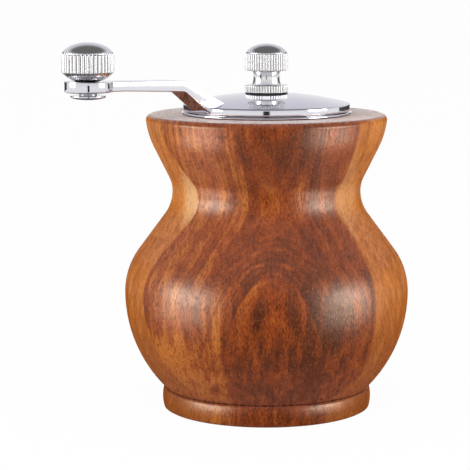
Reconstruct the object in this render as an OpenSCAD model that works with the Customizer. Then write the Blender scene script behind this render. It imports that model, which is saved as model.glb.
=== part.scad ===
// Hand coffee mill: turned wooden body, conical burrs, cranked metal lid.
// Z points up. The foot stands on z = 0 and the crank lies along -X. Millimetres.

/* [Turned body] */
// Height of the body's flat top above the table
top_z = 105.8; // [95:0.1:125]
// Height of the joint between the foot and the body
foot_z = 7.5; // [5:0.1:12]
// Radius of the bulb at its widest
bulb_r = 50.96; // [45:0.1:60]
// Height of the bulb's widest circle
bulb_z = 42.05; // [38:0.1:48]
// Radius of the arc under the bulb's widest circle
bulb_low_arc = 48.66; // [42:0.1:60]
// Radius of the arc above the bulb's widest circle
bulb_high_arc = 25.17; // [20:0.1:30]
// Radius of the waist at its narrowest
waist_r = 33.69; // [32:0.1:38]
// Depth of the waist's narrowest circle below the flat top
waist_d = 27.32; // [23:0.01:32]
// Radius of the hollow arc under the waist
waist_low_arc = 14.5; // [10:0.1:18]
// Radius of the hollow arc above the waist
waist_high_arc = 11.34; // [8:0.1:15]
// Radius the shoulder's arc would reach at its centre's height
shoulder_r = 43.24; // [41:0.1:47]
// Height of the centre of the shoulder's arc over the flat top
shoulder_over = 1.76; // [0.5:0.01:6]
// Radius of the shoulder's arc
shoulder_arc = 30.74; // [25:0.1:36]
// Rounding of the top edge
top_edge_r = 2; // [0.5:0.1:3]
// Radius of the round hopper bored down the body
hopper_r = 24.5; // [22:0.1:26]
// Radius of the step bored in the top for the bridge and the collar
step_r = 29.3; // [28.5:0.1:31]
// Depth of that step below the flat top
step_d = 9.8; // [8:0.1:12]
// Radius of the chamber that the cup plugs into
chamber_r = 31.8; // [30:0.1:33]
// Height of the chamber's ceiling
chamber_z = 38; // [36:0.1:42]

/* [Foot and cup] */
// Radius of the foot at its widest
foot_r = 37.65; // [36:0.05:42]
// How far the foot's side bellies out past its top and bottom edges
foot_belly = 0.55; // [0.2:0.05:1]
// Height of the top of the cup
cup_top_z = 31.5; // [26:0.1:32]
// Thickness of the cup's wall
cup_wall = 3.2; // [2.8:0.1:4]
// Thickness of the cup's floor
cup_floor = 5; // [3.5:0.1:7]
// Radius of the corner inside the cup
cup_corner = 3; // [1:0.1:5]
// Thickness of the rubber ring
seal_d = 1.5; // [1.3:0.1:1.8]
// Height of the rubber ring
seal_z = 18.2; // [14:0.1:24]
// Room in the groove over and under the rubber ring
seal_slack = 0.4; // [0.2:0.05:0.8]

/* [Burrs] */
// Outer radius of the outer burr
burr_r = 21; // [20:0.1:22]
// Height of the outer burr's lower face over the chamber's ceiling
burr_inset = 1.5; // [1:0.1:3]
// Height of the outer burr
burr_h = 13.5; // [12:0.1:14]
// Inner radius of the outer burr at its lower face
burr_bore_low = 17.5; // [17:0.1:18]
// Inner radius of the outer burr at its upper face
burr_bore_high = 14.8; // [14:0.1:16]
// Largest radius of the inner burr
cone_r = 16.85; // [16:0.05:17.2]
// Radius of the inner burr at its top
cone_top_r = 9.6; // [9:0.1:11]
// Height of the inner burr
cone_h = 11; // [10:0.1:12]
// How far the inner burr hangs below the outer burr
cone_drop = 0.6; // [0.2:0.1:1]
// Depth of the spring's recess in the inner burr
recess_d = 5; // [4:0.1:6]
// Height of the inner burr's finely cut ring
fine_h = 2.6; // [2:0.1:4]
// Number of fine teeth on each burr
fine_teeth = 30; // [20:1:40]
// Number of breaking ribs on each burr
coarse_teeth = 6; // [4:1:8]
// Width of the fine teeth's cuts
fine_w = 1; // [0.6:0.1:1.4]
// Depth of the fine teeth's cuts
fine_d = 0.4; // [0.2:0.05:0.6]
// Length of the fine teeth's cuts
fine_l = 5; // [3:0.1:7]
// Lean of the fine teeth, in degrees
fine_lean = 13; // [0:1:20]
// Width of the breaking ribs' cuts
rib_w = 3; // [2:0.1:4]
// Depth of the breaking ribs' cuts
rib_d = 1.2; // [0.6:0.1:2]
// Lean of the breaking ribs, in degrees
rib_lean = 20; // [0:1:30]
// Width of the bevel at the outer burr's mouth
burr_lead = 1; // [0.5:0.1:2]
// How far the inner burr moves between fine and coarse
burr_travel = 1.6; // [0.5:0.1:2]

/* [Shaft] */
// Radius of the shaft in its bushings
shaft_r = 4; // [3.5:0.1:4.5]
// Width of the shaft's square ends across their flats
square_w = 6.2; // [5.8:0.1:6.6]
// Radius of the threaded ends
thread_r = 2.98; // [2.4:0.02:3]
// Length of thread below the adjusting nut at its coarsest
thread_tail = 3; // [2:0.1:5]
// Length of thread inside the finial's upper band
thread_reach = 4.3; // [3:0.1:5]
// Radius of the shaft's thrust collar
thrust_r = 5.5; // [5:0.1:7]
// Thickness of the shaft's thrust collar
thrust_h = 1.8; // [1:0.1:3]
// Thickness of the retaining clip
clip_h = 0.8; // [0.6:0.1:1]
// Radius of the retaining clip
clip_r = 6.6; // [6:0.1:7]
// Depth of the retaining clip's groove
clip_groove = 0.8; // [0.5:0.1:1.2]
// Width of the retaining clip's mouth
clip_slot = 3.2; // [2:0.1:5]

/* [Bridge and collar] */
// Thickness of the bridge's ring and spokes
bridge_h = 2; // [1.5:0.1:3]
// Width of each spoke
spoke_w = 5; // [4:0.1:7]
// Number of spokes on the bridge and on the burr housing
spokes = 3; // [3:1:4]
// Outer radius of the bridge's hub
hub_r = 8; // [7.5:0.1:10]
// Wall of the upper bushing
upper_bush_t = 2; // [1:0.1:2.5]
// Thickness of each bushing's flange
bush_flange_h = 1; // [0.6:0.1:1.5]
// Width of each bushing's flange
bush_flange_w = 1; // [0.5:0.1:1.5]
// Height of the bridge's hub
hub_h = 7; // [5:0.1:9]
// Radius of the collar's bright flange
flange_r = 30.4; // [30:0.1:32]
// Thickness of the collar's flange
flange_h = 0.9; // [0.6:0.1:1.4]
// Thickness of the collar's sleeve
sleeve_t = 0.8; // [0.6:0.1:1.2]
// Head radius of the bridge's screws
small_head_r = 1.65; // [1.4:0.05:1.7]
// Head height of the bridge's screws
small_head_h = 1.2; // [0.8:0.1:1.4]
// Shank radius of the bridge's screws
small_shank_r = 1; // [0.8:0.05:1.1]
// Length of the bridge's screws under the head
small_screw_l = 10; // [8:0.5:14]

/* [Burr housing] */
// Gap between the housing's flange and the chamber's wall
housing_flange_gap = 1.3; // [0.3:0.1:2.5]
// Thickness of the housing's flange
housing_flange_h = 2.7; // [2:0.1:3.5]
// Height of the housing's funnel over the outer burr
funnel_h = 9; // [8:0.1:12]
// Width of the funnel's upper lip
funnel_lip = 1; // [0.5:0.1:2]
// Radius of the throat over the outer burr
throat_r = 18.4; // [17:0.1:19.5]
// Height of the throat
throat_h = 3; // [2:0.1:5]
// Radius of the housing's hub
lower_hub_r = 6.6; // [6.3:0.1:7.5]
// Height of the housing's hub
lower_hub_h = 6.5; // [6:0.1:8]
// Height of the hub's underside over the outer burr
lower_hub_up = 1.2; // [0.6:0.1:2]
// Wall of the lower bushing
lower_bush_t = 1; // [0.8:0.1:1.5]
// Width of each of the housing's arms
arm_w = 4; // [3:0.1:6]
// Height of each of the housing's arms
arm_h = 4.5; // [3:0.1:5.5]
// Head radius of the housing's screws
big_head_r = 2.4; // [2:0.1:2.6]
// Head height of the housing's screws
big_head_h = 1.9; // [1.4:0.1:2.2]
// Shank radius of the housing's screws
big_shank_r = 1.5; // [1.2:0.1:1.8]
// Length of the housing's screws under the head
big_screw_l = 13; // [10:0.5:18]

/* [Adjuster] */
// Radius of the adjusting nut
nut_r = 9; // [7:0.1:11]
// Height of the adjusting nut
nut_h = 4.3; // [3:0.1:4.4]
// Radius of the cutter for the adjusting nut's grip
nut_flute_r = 0.7; // [0.4:0.05:1]
// Depth of the adjusting nut's grip flutes
nut_flute_d = 0.45; // [0.2:0.05:0.7]
// Number of grip flutes round the adjusting nut
nut_flutes = 24; // [16:1:36]
// Radius of the detent washer
detent_r = 7.6; // [6:0.1:9]
// Thickness of the detent washer
detent_h = 0.8; // [0.6:0.1:1]
// Wire thickness of the burr spring
wire_d = 1.1; // [0.8:0.1:1.3]
// Radius of the spring from the axis to the middle of its wire
coil_r = 5.5; // [5.2:0.05:5.8]
// Turns in the spring
coil_turns = 4.5; // [3:0.5:5.5]
// Thickness of the washer over the spring
seat_washer_h = 0.7; // [0.5:0.1:1]

/* [Lid and crank] */
// Radius of the lid
lid_r = 29.9; // [29:0.1:31]
// Height of the lid's upright rim
lid_rim_h = 2.4; // [1.6:0.1:4]
// Rise of the lid's dome over the rim
lid_rise = 3.8; // [1.5:0.1:6]
// Thickness of the lid
lid_t = 2.4; // [1.6:0.1:3]
// Depth of the lip that sits inside the collar
lip_h = 3.6; // [2:0.1:4.5]
// Thickness of that lip
lip_t = 2; // [1.2:0.1:3]
// Radius of the boss on the shaft
boss_r = 8; // [7:0.1:10]
// Room between the retaining clip and the boss
clip_room = 1.2; // [0.5:0.1:2]
// How far the arm's root stays clear of the boss
root_run = 6; // [3:0.5:9]
// Distance of the knob from the shaft
crank_l = 78; // [60:0.5:95]
// Width of the crank's arm
crank_w = 8.8; // [6:0.1:14]
// Thickness of the crank's arm at the eye
crank_t = 3.3; // [2.5:0.1:5]
// Thickness of the arm at its upper bend
bend_t = 3.7; // [2.5:0.1:5]
// Radius of the eye that holds the knob's bolt
eye_r = 7.8; // [5:0.05:9]
// Height of the arm's upper bend over the lid's rim
crank_rise = 9.7; // [6:0.1:14]
// Slope at which the arm climbs from its bend to the eye, in degrees
crank_climb = 1.74; // [0:0.01:5]
// Distance from the shaft at which the arm bends down
bend_x = 39.9; // [34:0.1:45]
// Slope of the arm's top down to the lid, in degrees
riser_top_slope = 27; // [25:0.5:45]
// Slope of the arm's underside down to the lid, in degrees
riser_low_slope = 37.5; // [35:0.5:50]

/* [Knob] */
// Radius of the knob's fluted band
knob_r = 8.7; // [7:0.05:14]
// Height of the knob's fluted band
knob_band_h = 6.4; // [4:0.1:12]
// Height of the dome over the band
knob_dome_h = 3.8; // [2:0.1:5]
// Height of the taper under the band
knob_foot_h = 2.7; // [2:0.1:6]
// Radius of the knob's underside
knob_foot_r = 3.8; // [3.4:0.1:6]
// How far the taper under the band bows out
knob_foot_bow = 0.38; // [0:0.01:0.6]
// Number of flutes round the knob
knob_flutes = 38; // [24:1:60]
// Radius of the cutter for the knob's flutes
knob_flute_r = 0.55; // [0.3:0.05:0.8]
// Depth of the knob's flutes
knob_flute_d = 0.33; // [0.1:0.01:0.5]
// Shank radius of the knob's bolt
bolt_r = 2; // [1.6:0.1:2.4]
// Height of the clip's bore over the knob's taper
clip_bore_up = 1.2; // [0.8:0.1:3]
// Height of the clip's bore
clip_bore_h = 1.4; // [1.2:0.1:2]
// Thickness of the clip on the knob's bolt
knob_clip_h = 0.6; // [0.4:0.1:0.8]
// Depth of the clip's groove in the bolt
bolt_groove = 0.5; // [0.3:0.05:0.7]
// Length of the bolt above the floor of the clip's bore
bolt_tail = 3.4; // [2.6:0.1:5]
// Head radius of the knob's bolt
bolt_head_r = 5.9; // [4.5:0.1:7]
// Head thickness of the knob's bolt
bolt_head_h = 1.5; // [1:0.1:3]
// Thickness of the washer between the bolt's head and the eye
bolt_washer_h = 1.05; // [0.5:0.05:2]
// Width of that washer's ring
bolt_washer_w = 0.9; // [0.5:0.1:3]

/* [Finial] */
// Radius of the finial's fluted bands
finial_r = 7.6; // [6.5:0.1:9.5]
// Height of the lower fluted ring
finial_ring_h = 2.55; // [1.5:0.1:5]
// Height of the hollow neck
finial_neck_h = 5.2; // [3:0.1:9]
// Radius of the neck at its ends
finial_neck_r = 5.25; // [4.6:0.05:6.5]
// How deep the neck is hollowed at its middle
finial_neck_dip = 0.6; // [0.1:0.05:1]
// Height of the upper fluted band
finial_band_h = 6; // [5:0.1:9]
// Height of the cap's dome
finial_dome_h = 3.5; // [1.5:0.1:5]
// Number of flutes round the finial
finial_flutes = 48; // [30:1:60]
// Radius of the cutter for the finial's flutes
finial_flute_r = 0.4; // [0.2:0.05:0.6]
// Depth of the finial's flutes
finial_flute_d = 0.2; // [0.1:0.01:0.4]
// Thickness of the black washer under the finial
washer_t = 0.37; // [0.3:0.01:1]

/* [Fits] */
// Gap between parts that move past each other without bearing
gap = 0.3; // [0.2:0.05:0.5]
// Radial clearance of a running or sliding fit
run = 0.05; // [0.02:0.01:0.1]
// Gap between faces that bear on each other
face = 0.1; // [0.05:0.01:0.15]

/* [Hidden] */
$fn = 96;

wood_c = [0.55, 0.27, 0.12];
chrome_c = [0.86, 0.86, 0.88];
steel_c = [0.62, 0.62, 0.64];
iron_c = [0.35, 0.35, 0.36];
brass_c = [0.80, 0.62, 0.28];
black_c = [0.08, 0.08, 0.08];
over = 1;
bevel = 0.3;
chamfer = 0.5;
fullness = 0.6;
seam = 1; // degrees left between two arcs that meet
spoke_turn = 30;
screw_turn = 90;
body_low_z = foot_z + gap;
step_z = top_z - step_d;
waist_z = top_z - waist_d;
shoulder_z = top_z + shoulder_over;
// foot and cup
plug_r = chamber_r - gap;
cavity_r = plug_r - cup_wall;
groove_h = seal_d + 2 * seal_slack;
groove_r = plug_r + gap - seal_d - 2 * run;
// housing, burrs and the parts under them
flange_low_z = chamber_z - face - housing_flange_h;
barrel_r = hopper_r - gap;
burr_z = chamber_z + burr_inset;
burr_top_z = burr_z + burr_h;
housing_top_z = burr_top_z + funnel_h;
throat_z = burr_top_z + throat_h;
lower_hub_z = burr_top_z + lower_hub_up;
lower_bush_r = shaft_r + lower_bush_t;
housing_flange_r = chamber_r - housing_flange_gap;
big_screw_r = (housing_flange_r + barrel_r) / 2;
cone_z = burr_z - cone_drop;
cone_top_z = cone_z + cone_h;
recess_r = coil_r + wire_d / 2 + chamfer;
recess_z = cone_top_z - recess_d;
detent_z = cone_z - face - detent_h;
nut_z = detent_z - face - nut_h;
shaft_low_z = nut_z - burr_travel - thread_tail;
spring_top_z = lower_hub_z - bush_flange_h - face - seat_washer_h;
// bridge, collar and the top of the shaft
sleeve_r = step_r - gap;
bridge_r = sleeve_r - face;
ring_r = hopper_r + face;
small_screw_r = (sleeve_r - sleeve_t + ring_r) / 2;
bridge_top_z = step_z + bridge_h;
upper_hub_z = bridge_top_z - hub_h;
upper_bush_r = shaft_r + upper_bush_t;
thrust_z = upper_hub_z - 2 * face - thrust_h;
clip_z = bridge_top_z + bush_flange_h + face;
boss_z = clip_z + clip_h + clip_room;
lid_z = top_z + face + flange_h + gap;
rim_z = lid_z + lid_rim_h;
lip_r = sleeve_r - sleeve_t - gap - face;
lip_low_r = lip_r - lip_t;
dome_arc = (lid_r * lid_r + lid_rise * lid_rise) / (2 * lid_rise);
dome_z = rim_z + lid_rise - dome_arc;
seat_z = dome_height(boss_r);
// arm, knob and finial
bend_z = rim_z + crank_rise;
arm_top_z = bend_z + (crank_l - bend_x) * tan(crank_climb);
arm_low_z = arm_top_z - crank_t;
knob_z = arm_top_z + gap;
band_z = knob_z + knob_foot_h;
knob_top_z = band_z + knob_band_h + knob_dome_h;
clip_bore_z = band_z + clip_bore_up;
knob_clip_r = 1.6 * bolt_r;
bolt_top_z = clip_bore_z + bolt_tail;
finial_z = seat_z + washer_t + 2 * run;
neck_z = finial_z + finial_ring_h;
finial_band_z = neck_z + finial_neck_h;
finial_dome_z = finial_band_z + finial_band_h;
shaft_high_z = finial_band_z + thread_reach;

// Points along an arc about (cx, cz), from angle a to angle b.
function arc(cx, cz, r, a, b, n = 12) =
    [for (i = [0:n]) let (t = a + (b - a) * i / n) [cx + r * cos(t), cz + r * sin(t)]];

// Angle at which a straight line leaves a full arc (A) for a hollow arc (B).
function leave(ax, az, ar, bx, bz, br, side) =
    atan2(bz - az, bx - ax) + side * acos((ar + br) / norm([bx - ax, bz - az]));

// Radius of a hollow arc whose narrowest point lies dx outside and dz away from the centre of
// a full arc, or the largest that still meets that arc where they stand close.
function hollow(wanted, full, dx, dz) =
    min(wanted, 0.95 * (dx * dx + dz * dz - full * full) / (2 * (full - dx)));

// Height of the lid's top at a distance from the shaft.
function dome_height(r) = dome_z + sqrt(dome_arc * dome_arc - r * r);

// Points from p to q along a curve that bows out by a distance at its middle.
function bowed(p, q, bow, n = 8) =
    let (d = q - p, side = [d[1], -d[0]] / norm(d))
    [for (i = [0:n]) let (t = i / n) p + d * t + side * 4 * bow * t * (1 - t)];

// Outline of a full dome from its rim to its top: rise * (1 - (r / rim)^2) ^ fullness.
function dome_outline(rim, low, rise, n = 12) =
    [for (i = [0:n]) let (r = rim * cos(90 * i / n))
        [r, low + rise * pow(max(0, 1 - r * r / (rim * rim)), fullness)]];

// Outline of the turned body, from the foot joint to the top edge.
function body_outline() =
    let (low_x = bulb_r - bulb_low_arc,
         high_x = bulb_r - bulb_high_arc,
         shoulder_x = shoulder_r - shoulder_arc,
         waist_arc = hollow(waist_low_arc, bulb_high_arc, waist_r - high_x, waist_z - bulb_z),
         neck_arc = hollow(waist_high_arc, shoulder_arc,
                           waist_r - shoulder_x, shoulder_z - waist_z),
         waist_x = waist_r + waist_arc,
         neck_x = waist_r + neck_arc,
         a_low = asin((body_low_z - bulb_z) / bulb_low_arc),
         a_bulb = leave(high_x, bulb_z, bulb_high_arc, waist_x, waist_z, waist_arc, -1),
         a_neck = leave(shoulder_x, shoulder_z, shoulder_arc, neck_x, waist_z, neck_arc, 1),
         edge_z = top_z - top_edge_r,
         a_edge = asin((edge_z - shoulder_z) / shoulder_arc),
         edge_x = shoulder_x + shoulder_arc * cos(a_edge) - top_edge_r)
    concat(arc(low_x, bulb_z, bulb_low_arc, a_low, -seam, 14),
           arc(high_x, bulb_z, bulb_high_arc, 0, a_bulb, 10),
           arc(waist_x, waist_z, waist_arc, 180 + a_bulb, 180 + seam, 8),
           arc(neck_x, waist_z, neck_arc, 180, 180 + a_neck, 6),
           arc(shoulder_x, shoulder_z, shoulder_arc, a_neck, a_edge, 6),
           arc(edge_x, edge_z, top_edge_r, 10 * seam, 90, 5));

module tube(r_out, r_in, h) {
    difference() {
        cylinder(r = r_out, h = h);
        translate([0, 0, -over]) cylinder(r = r_in, h = h + 2 * over);
    }
}

module around(n, start = 0) {
    for (i = [0:n - 1]) rotate([0, 0, start + i * 360 / n]) children();
}

// The shaft's clipped square, grown all round by c.
module square_bar(z, h, c = 0) {
    translate([0, 0, z]) intersection() {
        translate([-square_w / 2 - c, -square_w / 2 - c, 0])
            cube([square_w + 2 * c, square_w + 2 * c, h]);
        cylinder(r = shaft_r + c, h = h);
    }
}

// Pan-head screw, head downwards, its shank rising from z = 0.
module pan_screw(head_r, head_h, shank_r, shank_l) {
    eased = head_h * 0.4;
    slot_w = head_r / 3;
    difference() {
        rotate_extrude() polygon([
            [0, -head_h], [head_r * 0.75, -head_h], [head_r, -head_h + eased], [head_r, 0],
            [shank_r, 0], [shank_r, shank_l - 1.5 * shank_r], [0, shank_l]]);
        translate([-head_r, -slot_w / 2, -head_h - over])
            cube([2 * head_r, slot_w, over + eased]);
    }
}

module base_cup() {
    belly_arc = (foot_z * foot_z / 4 + foot_belly * foot_belly) / (2 * foot_belly);
    a = asin((foot_z / 2 - bevel) / belly_arc);
    edge_r = foot_r - foot_belly - chamfer;
    difference() {
        color(wood_c) rotate_extrude() polygon(concat(
            [[0, 0], [edge_r, 0]],
            arc(foot_r - belly_arc, foot_z / 2, belly_arc, -a, a, 10),
            [[edge_r, foot_z], [plug_r, foot_z],
             [plug_r, cup_top_z - chamfer], [plug_r - chamfer, cup_top_z],
             [cavity_r + chamfer, cup_top_z], [cavity_r, cup_top_z - chamfer]],
            arc(cavity_r - cup_corner, cup_floor + cup_corner, cup_corner, 0, -90, 8),
            [[0, cup_floor]]));
        translate([0, 0, seal_z - groove_h / 2]) tube(plug_r + over, groove_r, groove_h);
    }
}

module cup_seal() {
    color(black_c) rotate_extrude()
        translate([groove_r + run + seal_d / 2, seal_z]) circle(d = seal_d, $fn = 24);
}

module mill_body() {
    color(wood_c) difference() {
        rotate_extrude() polygon(concat(
            [[chamber_r, body_low_z]],
            body_outline(),
            [[step_r + bevel, top_z], [step_r, top_z - bevel], [step_r, step_z],
             [hopper_r, step_z], [hopper_r, chamber_z], [chamber_r, chamber_z]]));
        around(spokes, screw_turn) translate([small_screw_r, 0, bridge_top_z - small_screw_l - chamfer])
            cylinder(r = small_shank_r + run, h = small_screw_l, $fn = 24);
        around(spokes, screw_turn) translate([big_screw_r, 0, flange_low_z])
            cylinder(r = big_shank_r + run, h = big_screw_l + chamfer, $fn = 24);
    }
}

module top_collar() {
    z = top_z + face;
    r = flange_h / 2;
    color(chrome_c) rotate_extrude() polygon(concat(
        [[sleeve_r - sleeve_t, bridge_top_z + gap], [sleeve_r, bridge_top_z + gap],
         [sleeve_r, z]],
        arc(flange_r - r, z + r, r, -90, 90, 8),
        [[sleeve_r - sleeve_t + bevel, z + flange_h],
         [sleeve_r - sleeve_t, z + flange_h - bevel]]));
}

module shaft_bridge() {
    color(steel_c) difference() {
        union() {
            translate([0, 0, step_z]) tube(bridge_r, ring_r, bridge_h);
            around(spokes, spoke_turn) translate([upper_bush_r + chamfer, -spoke_w / 2, step_z])
                cube([ring_r - upper_bush_r, spoke_w, bridge_h]);
            translate([0, 0, upper_hub_z]) cylinder(r = hub_r, h = hub_h);
        }
        translate([0, 0, upper_hub_z - over])
            cylinder(r = upper_bush_r + run / 2, h = hub_h + 2 * over);
        around(spokes, screw_turn) translate([small_screw_r, 0, step_z - over])
            cylinder(r = small_shank_r + run, h = bridge_h + 2 * over, $fn = 24);
    }
}

module bridge_screws() {
    color(steel_c) around(spokes, screw_turn) translate([small_screw_r, 0, bridge_top_z + run])
        rotate([180, 0, 0])
            pan_screw(small_head_r, small_head_h, small_shank_r, small_screw_l, $fn = 24);
}

module upper_bushing() {
    color(brass_c) difference() {
        union() {
            translate([0, 0, upper_hub_z - face])
                cylinder(r = upper_bush_r, h = hub_h + face + over);
            translate([0, 0, bridge_top_z + run])
                cylinder(r = upper_bush_r + bush_flange_w, h = bush_flange_h - run);
        }
        translate([0, 0, upper_hub_z - over]) cylinder(r = shaft_r + run, h = hub_h + 4 * over);
    }
}

module burr_housing() {
    funnel_r = barrel_r - funnel_lip;
    color(iron_c) difference() {
        union() {
            rotate_extrude() polygon([
                [burr_r + run, flange_low_z], [housing_flange_r, flange_low_z],
                [housing_flange_r, chamber_z - face], [barrel_r, chamber_z - face],
                [barrel_r, housing_top_z], [funnel_r, housing_top_z],
                [throat_r, throat_z], [throat_r, burr_top_z + run],
                [burr_r + run, burr_top_z + run]]);
            around(spokes, spoke_turn)
                translate([lower_bush_r + chamfer, -arm_w / 2, lower_hub_z + chamfer])
                cube([throat_r - lower_bush_r + 1, arm_w, arm_h]);
            translate([0, 0, lower_hub_z]) cylinder(r = lower_hub_r, h = lower_hub_h);
        }
        translate([0, 0, lower_hub_z - over])
            cylinder(r = lower_bush_r + run / 2, h = lower_hub_h + 2 * over);
        around(spokes, screw_turn) translate([big_screw_r, 0, flange_low_z - over])
            cylinder(r = big_shank_r + run, h = housing_flange_h + 2 * over, $fn = 24);
    }
}

module housing_screws() {
    color(steel_c) around(spokes, screw_turn) translate([big_screw_r, 0, flange_low_z - run])
        pan_screw(big_head_r, big_head_h, big_shank_r, big_screw_l, $fn = 24);
}

// One straight V cut lying along a burr's slope, leaning like a spiral tooth.
module tooth_cut(r, z, slope, lean, w, l) {
    translate([r, 0, z]) rotate([lean, 0, 0]) rotate([0, slope, 0]) rotate([0, 0, 45])
        cube([w, w, l], center = true);
}

module outer_burr() {
    slope = atan2(burr_bore_high - burr_bore_low, burr_h);
    mid_r = (burr_bore_low + burr_bore_high) / 2;
    color(iron_c) difference() {
        translate([0, 0, burr_z]) rotate_extrude() polygon([
            [burr_bore_low, 0], [burr_r, 0], [burr_r, burr_h],
            [burr_bore_high + burr_lead, burr_h], [burr_bore_high, burr_h - burr_lead]]);
        around(fine_teeth)
            tooth_cut(burr_bore_low - fine_w / sqrt(2) + fine_d, burr_z + 0.3 * fine_l, slope,
                      fine_lean, fine_w, fine_l);
        around(coarse_teeth)
            tooth_cut(mid_r - rib_w / sqrt(2) + rib_d, burr_z + 0.65 * burr_h, slope,
                      rib_lean, rib_w, burr_h);
    }
}

module lower_bushing() {
    color(brass_c) difference() {
        union() {
            translate([0, 0, lower_hub_z - bush_flange_h])
                cylinder(r = lower_bush_r + bush_flange_w, h = bush_flange_h - run);
            translate([0, 0, lower_hub_z - bush_flange_h])
                cylinder(r = lower_bush_r, h = lower_hub_h + bush_flange_h);
        }
        translate([0, 0, lower_hub_z - 2 * over])
            cylinder(r = shaft_r + run, h = lower_hub_h + 4 * over);
    }
}

module drive_shaft() {
    low_square_z = nut_z + nut_h - face;
    round_z = spring_top_z - 2 * seat_washer_h;
    tip = 2 * bevel;
    thread_z = seat_z - bevel;
    color(steel_c) difference() {
        union() {
            translate([0, 0, shaft_low_z])
                cylinder(r1 = thread_r - tip, r2 = thread_r, h = tip);
            translate([0, 0, shaft_low_z + tip])
                cylinder(r = thread_r, h = low_square_z - shaft_low_z);
            square_bar(low_square_z, round_z - low_square_z + over);
            translate([0, 0, round_z]) cylinder(r = shaft_r, h = boss_z - face - round_z);
            translate([0, 0, thrust_z]) cylinder(r = thrust_r, h = thrust_h);
            square_bar(boss_z - face - over, thread_z - boss_z + face + over);
            translate([0, 0, thread_z - over])
                cylinder(r = thread_r, h = shaft_high_z - tip - thread_z + over);
            translate([0, 0, shaft_high_z - tip])
                cylinder(r1 = thread_r, r2 = thread_r - tip, h = tip);
        }
        translate([0, 0, clip_z]) tube(shaft_r + over, shaft_r - clip_groove, clip_h + face);
    }
}

module shaft_clip() {
    color(steel_c) translate([0, 0, clip_z + run]) difference() {
        tube(clip_r, shaft_r - clip_groove + run, clip_h);
        translate([0, -clip_slot / 2, -over]) cube([clip_r + over, clip_slot, clip_h + 2 * over]);
    }
}

module spring_washer() {
    color(steel_c) translate([0, 0, spring_top_z])
        tube(coil_r + wire_d / 2 + bevel, shaft_r + face, seat_washer_h);
}

// Round wire wound on a helix, with its ends closed flat.
module burr_spring() {
    steps = coil_turns * 24;
    ring = 8;
    low = recess_z + wire_d / 2 + run;
    high = spring_top_z - wire_d / 2 - run;
    points = [for (i = [0:steps], k = [0:ring - 1])
        let (a = 360 * i / 24, b = 360 * k / ring, r = coil_r + wire_d / 2 * cos(b),
             z = low + (high - low) * i / steps + wire_d / 2 * sin(b))
        [r * cos(a), r * sin(a), z]];
    sides = [for (i = [0:steps - 1], k = [0:ring - 1])
        let (p = i * ring + k, q = i * ring + (k + 1) % ring)
        each [[p, p + ring, q + ring], [p, q + ring, q]]];
    caps = [for (k = [1:ring - 2])
        each [[0, k, k + 1], [steps * ring, steps * ring + k + 1, steps * ring + k]]];
    color(steel_c) polyhedron(points, concat(sides, caps));
}

module inner_burr() {
    slope = atan2(cone_top_r - cone_r, cone_h - fine_h);
    mid_r = (cone_top_r + cone_r) / 2;
    color(iron_c) difference() {
        translate([0, 0, cone_z]) rotate_extrude() polygon([
            [0, 0], [cone_r, 0], [cone_r - bevel, fine_h], [cone_top_r, cone_h],
            [recess_r, cone_h], [recess_r, recess_z - cone_z], [0, recess_z - cone_z]]);
        square_bar(cone_z - over, cone_h, run);
        around(fine_teeth)
            tooth_cut(cone_r + fine_w / sqrt(2) - fine_d, cone_z + 0.2 * fine_l, -4,
                      -fine_lean, fine_w, fine_l);
        around(coarse_teeth)
            tooth_cut(mid_r + rib_w / sqrt(2) - rib_d, cone_z + 0.64 * cone_h, slope,
                      -rib_lean, rib_w, 2 * cone_h);
    }
}

module detent_washer() {
    color(steel_c) difference() {
        translate([0, 0, detent_z]) cylinder(r = detent_r, h = detent_h);
        square_bar(detent_z - over, detent_h + 2 * over, run);
    }
}

module adjusting_nut() {
    color(brass_c) difference() {
        translate([0, 0, nut_z]) rotate_extrude() polygon([
            [0, 0], [nut_r - chamfer, 0], [nut_r, chamfer], [nut_r, nut_h - chamfer],
            [nut_r - chamfer, nut_h], [0, nut_h]]);
        translate([0, 0, nut_z - over]) cylinder(r = thread_r + run, h = nut_h + 2 * over);
        around(nut_flutes) translate([nut_r + nut_flute_r - nut_flute_d, 0, nut_z - over])
            cylinder(r = nut_flute_r, h = nut_h + 2 * over, $fn = 16);
        translate([0, 0, nut_z + nut_h - chamfer])
            cylinder(r = shaft_r + chamfer, h = chamfer + over);
    }
}

// The arm's side view, drawn with x as the distance towards -X.
module arm_side() {
    low_x = bend_x + chamfer;
    low_z = bend_z - bend_t;
    root_x = boss_r + root_run;
    polygon([
        [-crank_l, arm_top_z], [-bend_x, bend_z],
        [-root_x, bend_z - (bend_x - root_x) * tan(riser_top_slope)],
        [-root_x, low_z - (low_x - root_x) * tan(riser_low_slope)],
        [-low_x, low_z], [eye_r - crank_l, arm_low_z], [-crank_l, arm_low_z]]);
}

// The room over the middle of the lid's thickness, which trims the root of the arm.
module over_lid() {
    far = crank_l + eye_r;
    rotate_extrude() polygon(concat(
        [[far, lid_z], [far, arm_top_z + over], [0, arm_top_z + over]],
        [for (i = [0:8]) let (r = lip_low_r * i / 8) [r, dome_height(r) - lid_t / 2]],
        [[lip_r, lid_z + lid_t / 2], [lip_r + bevel, lid_z]]));
}

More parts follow.
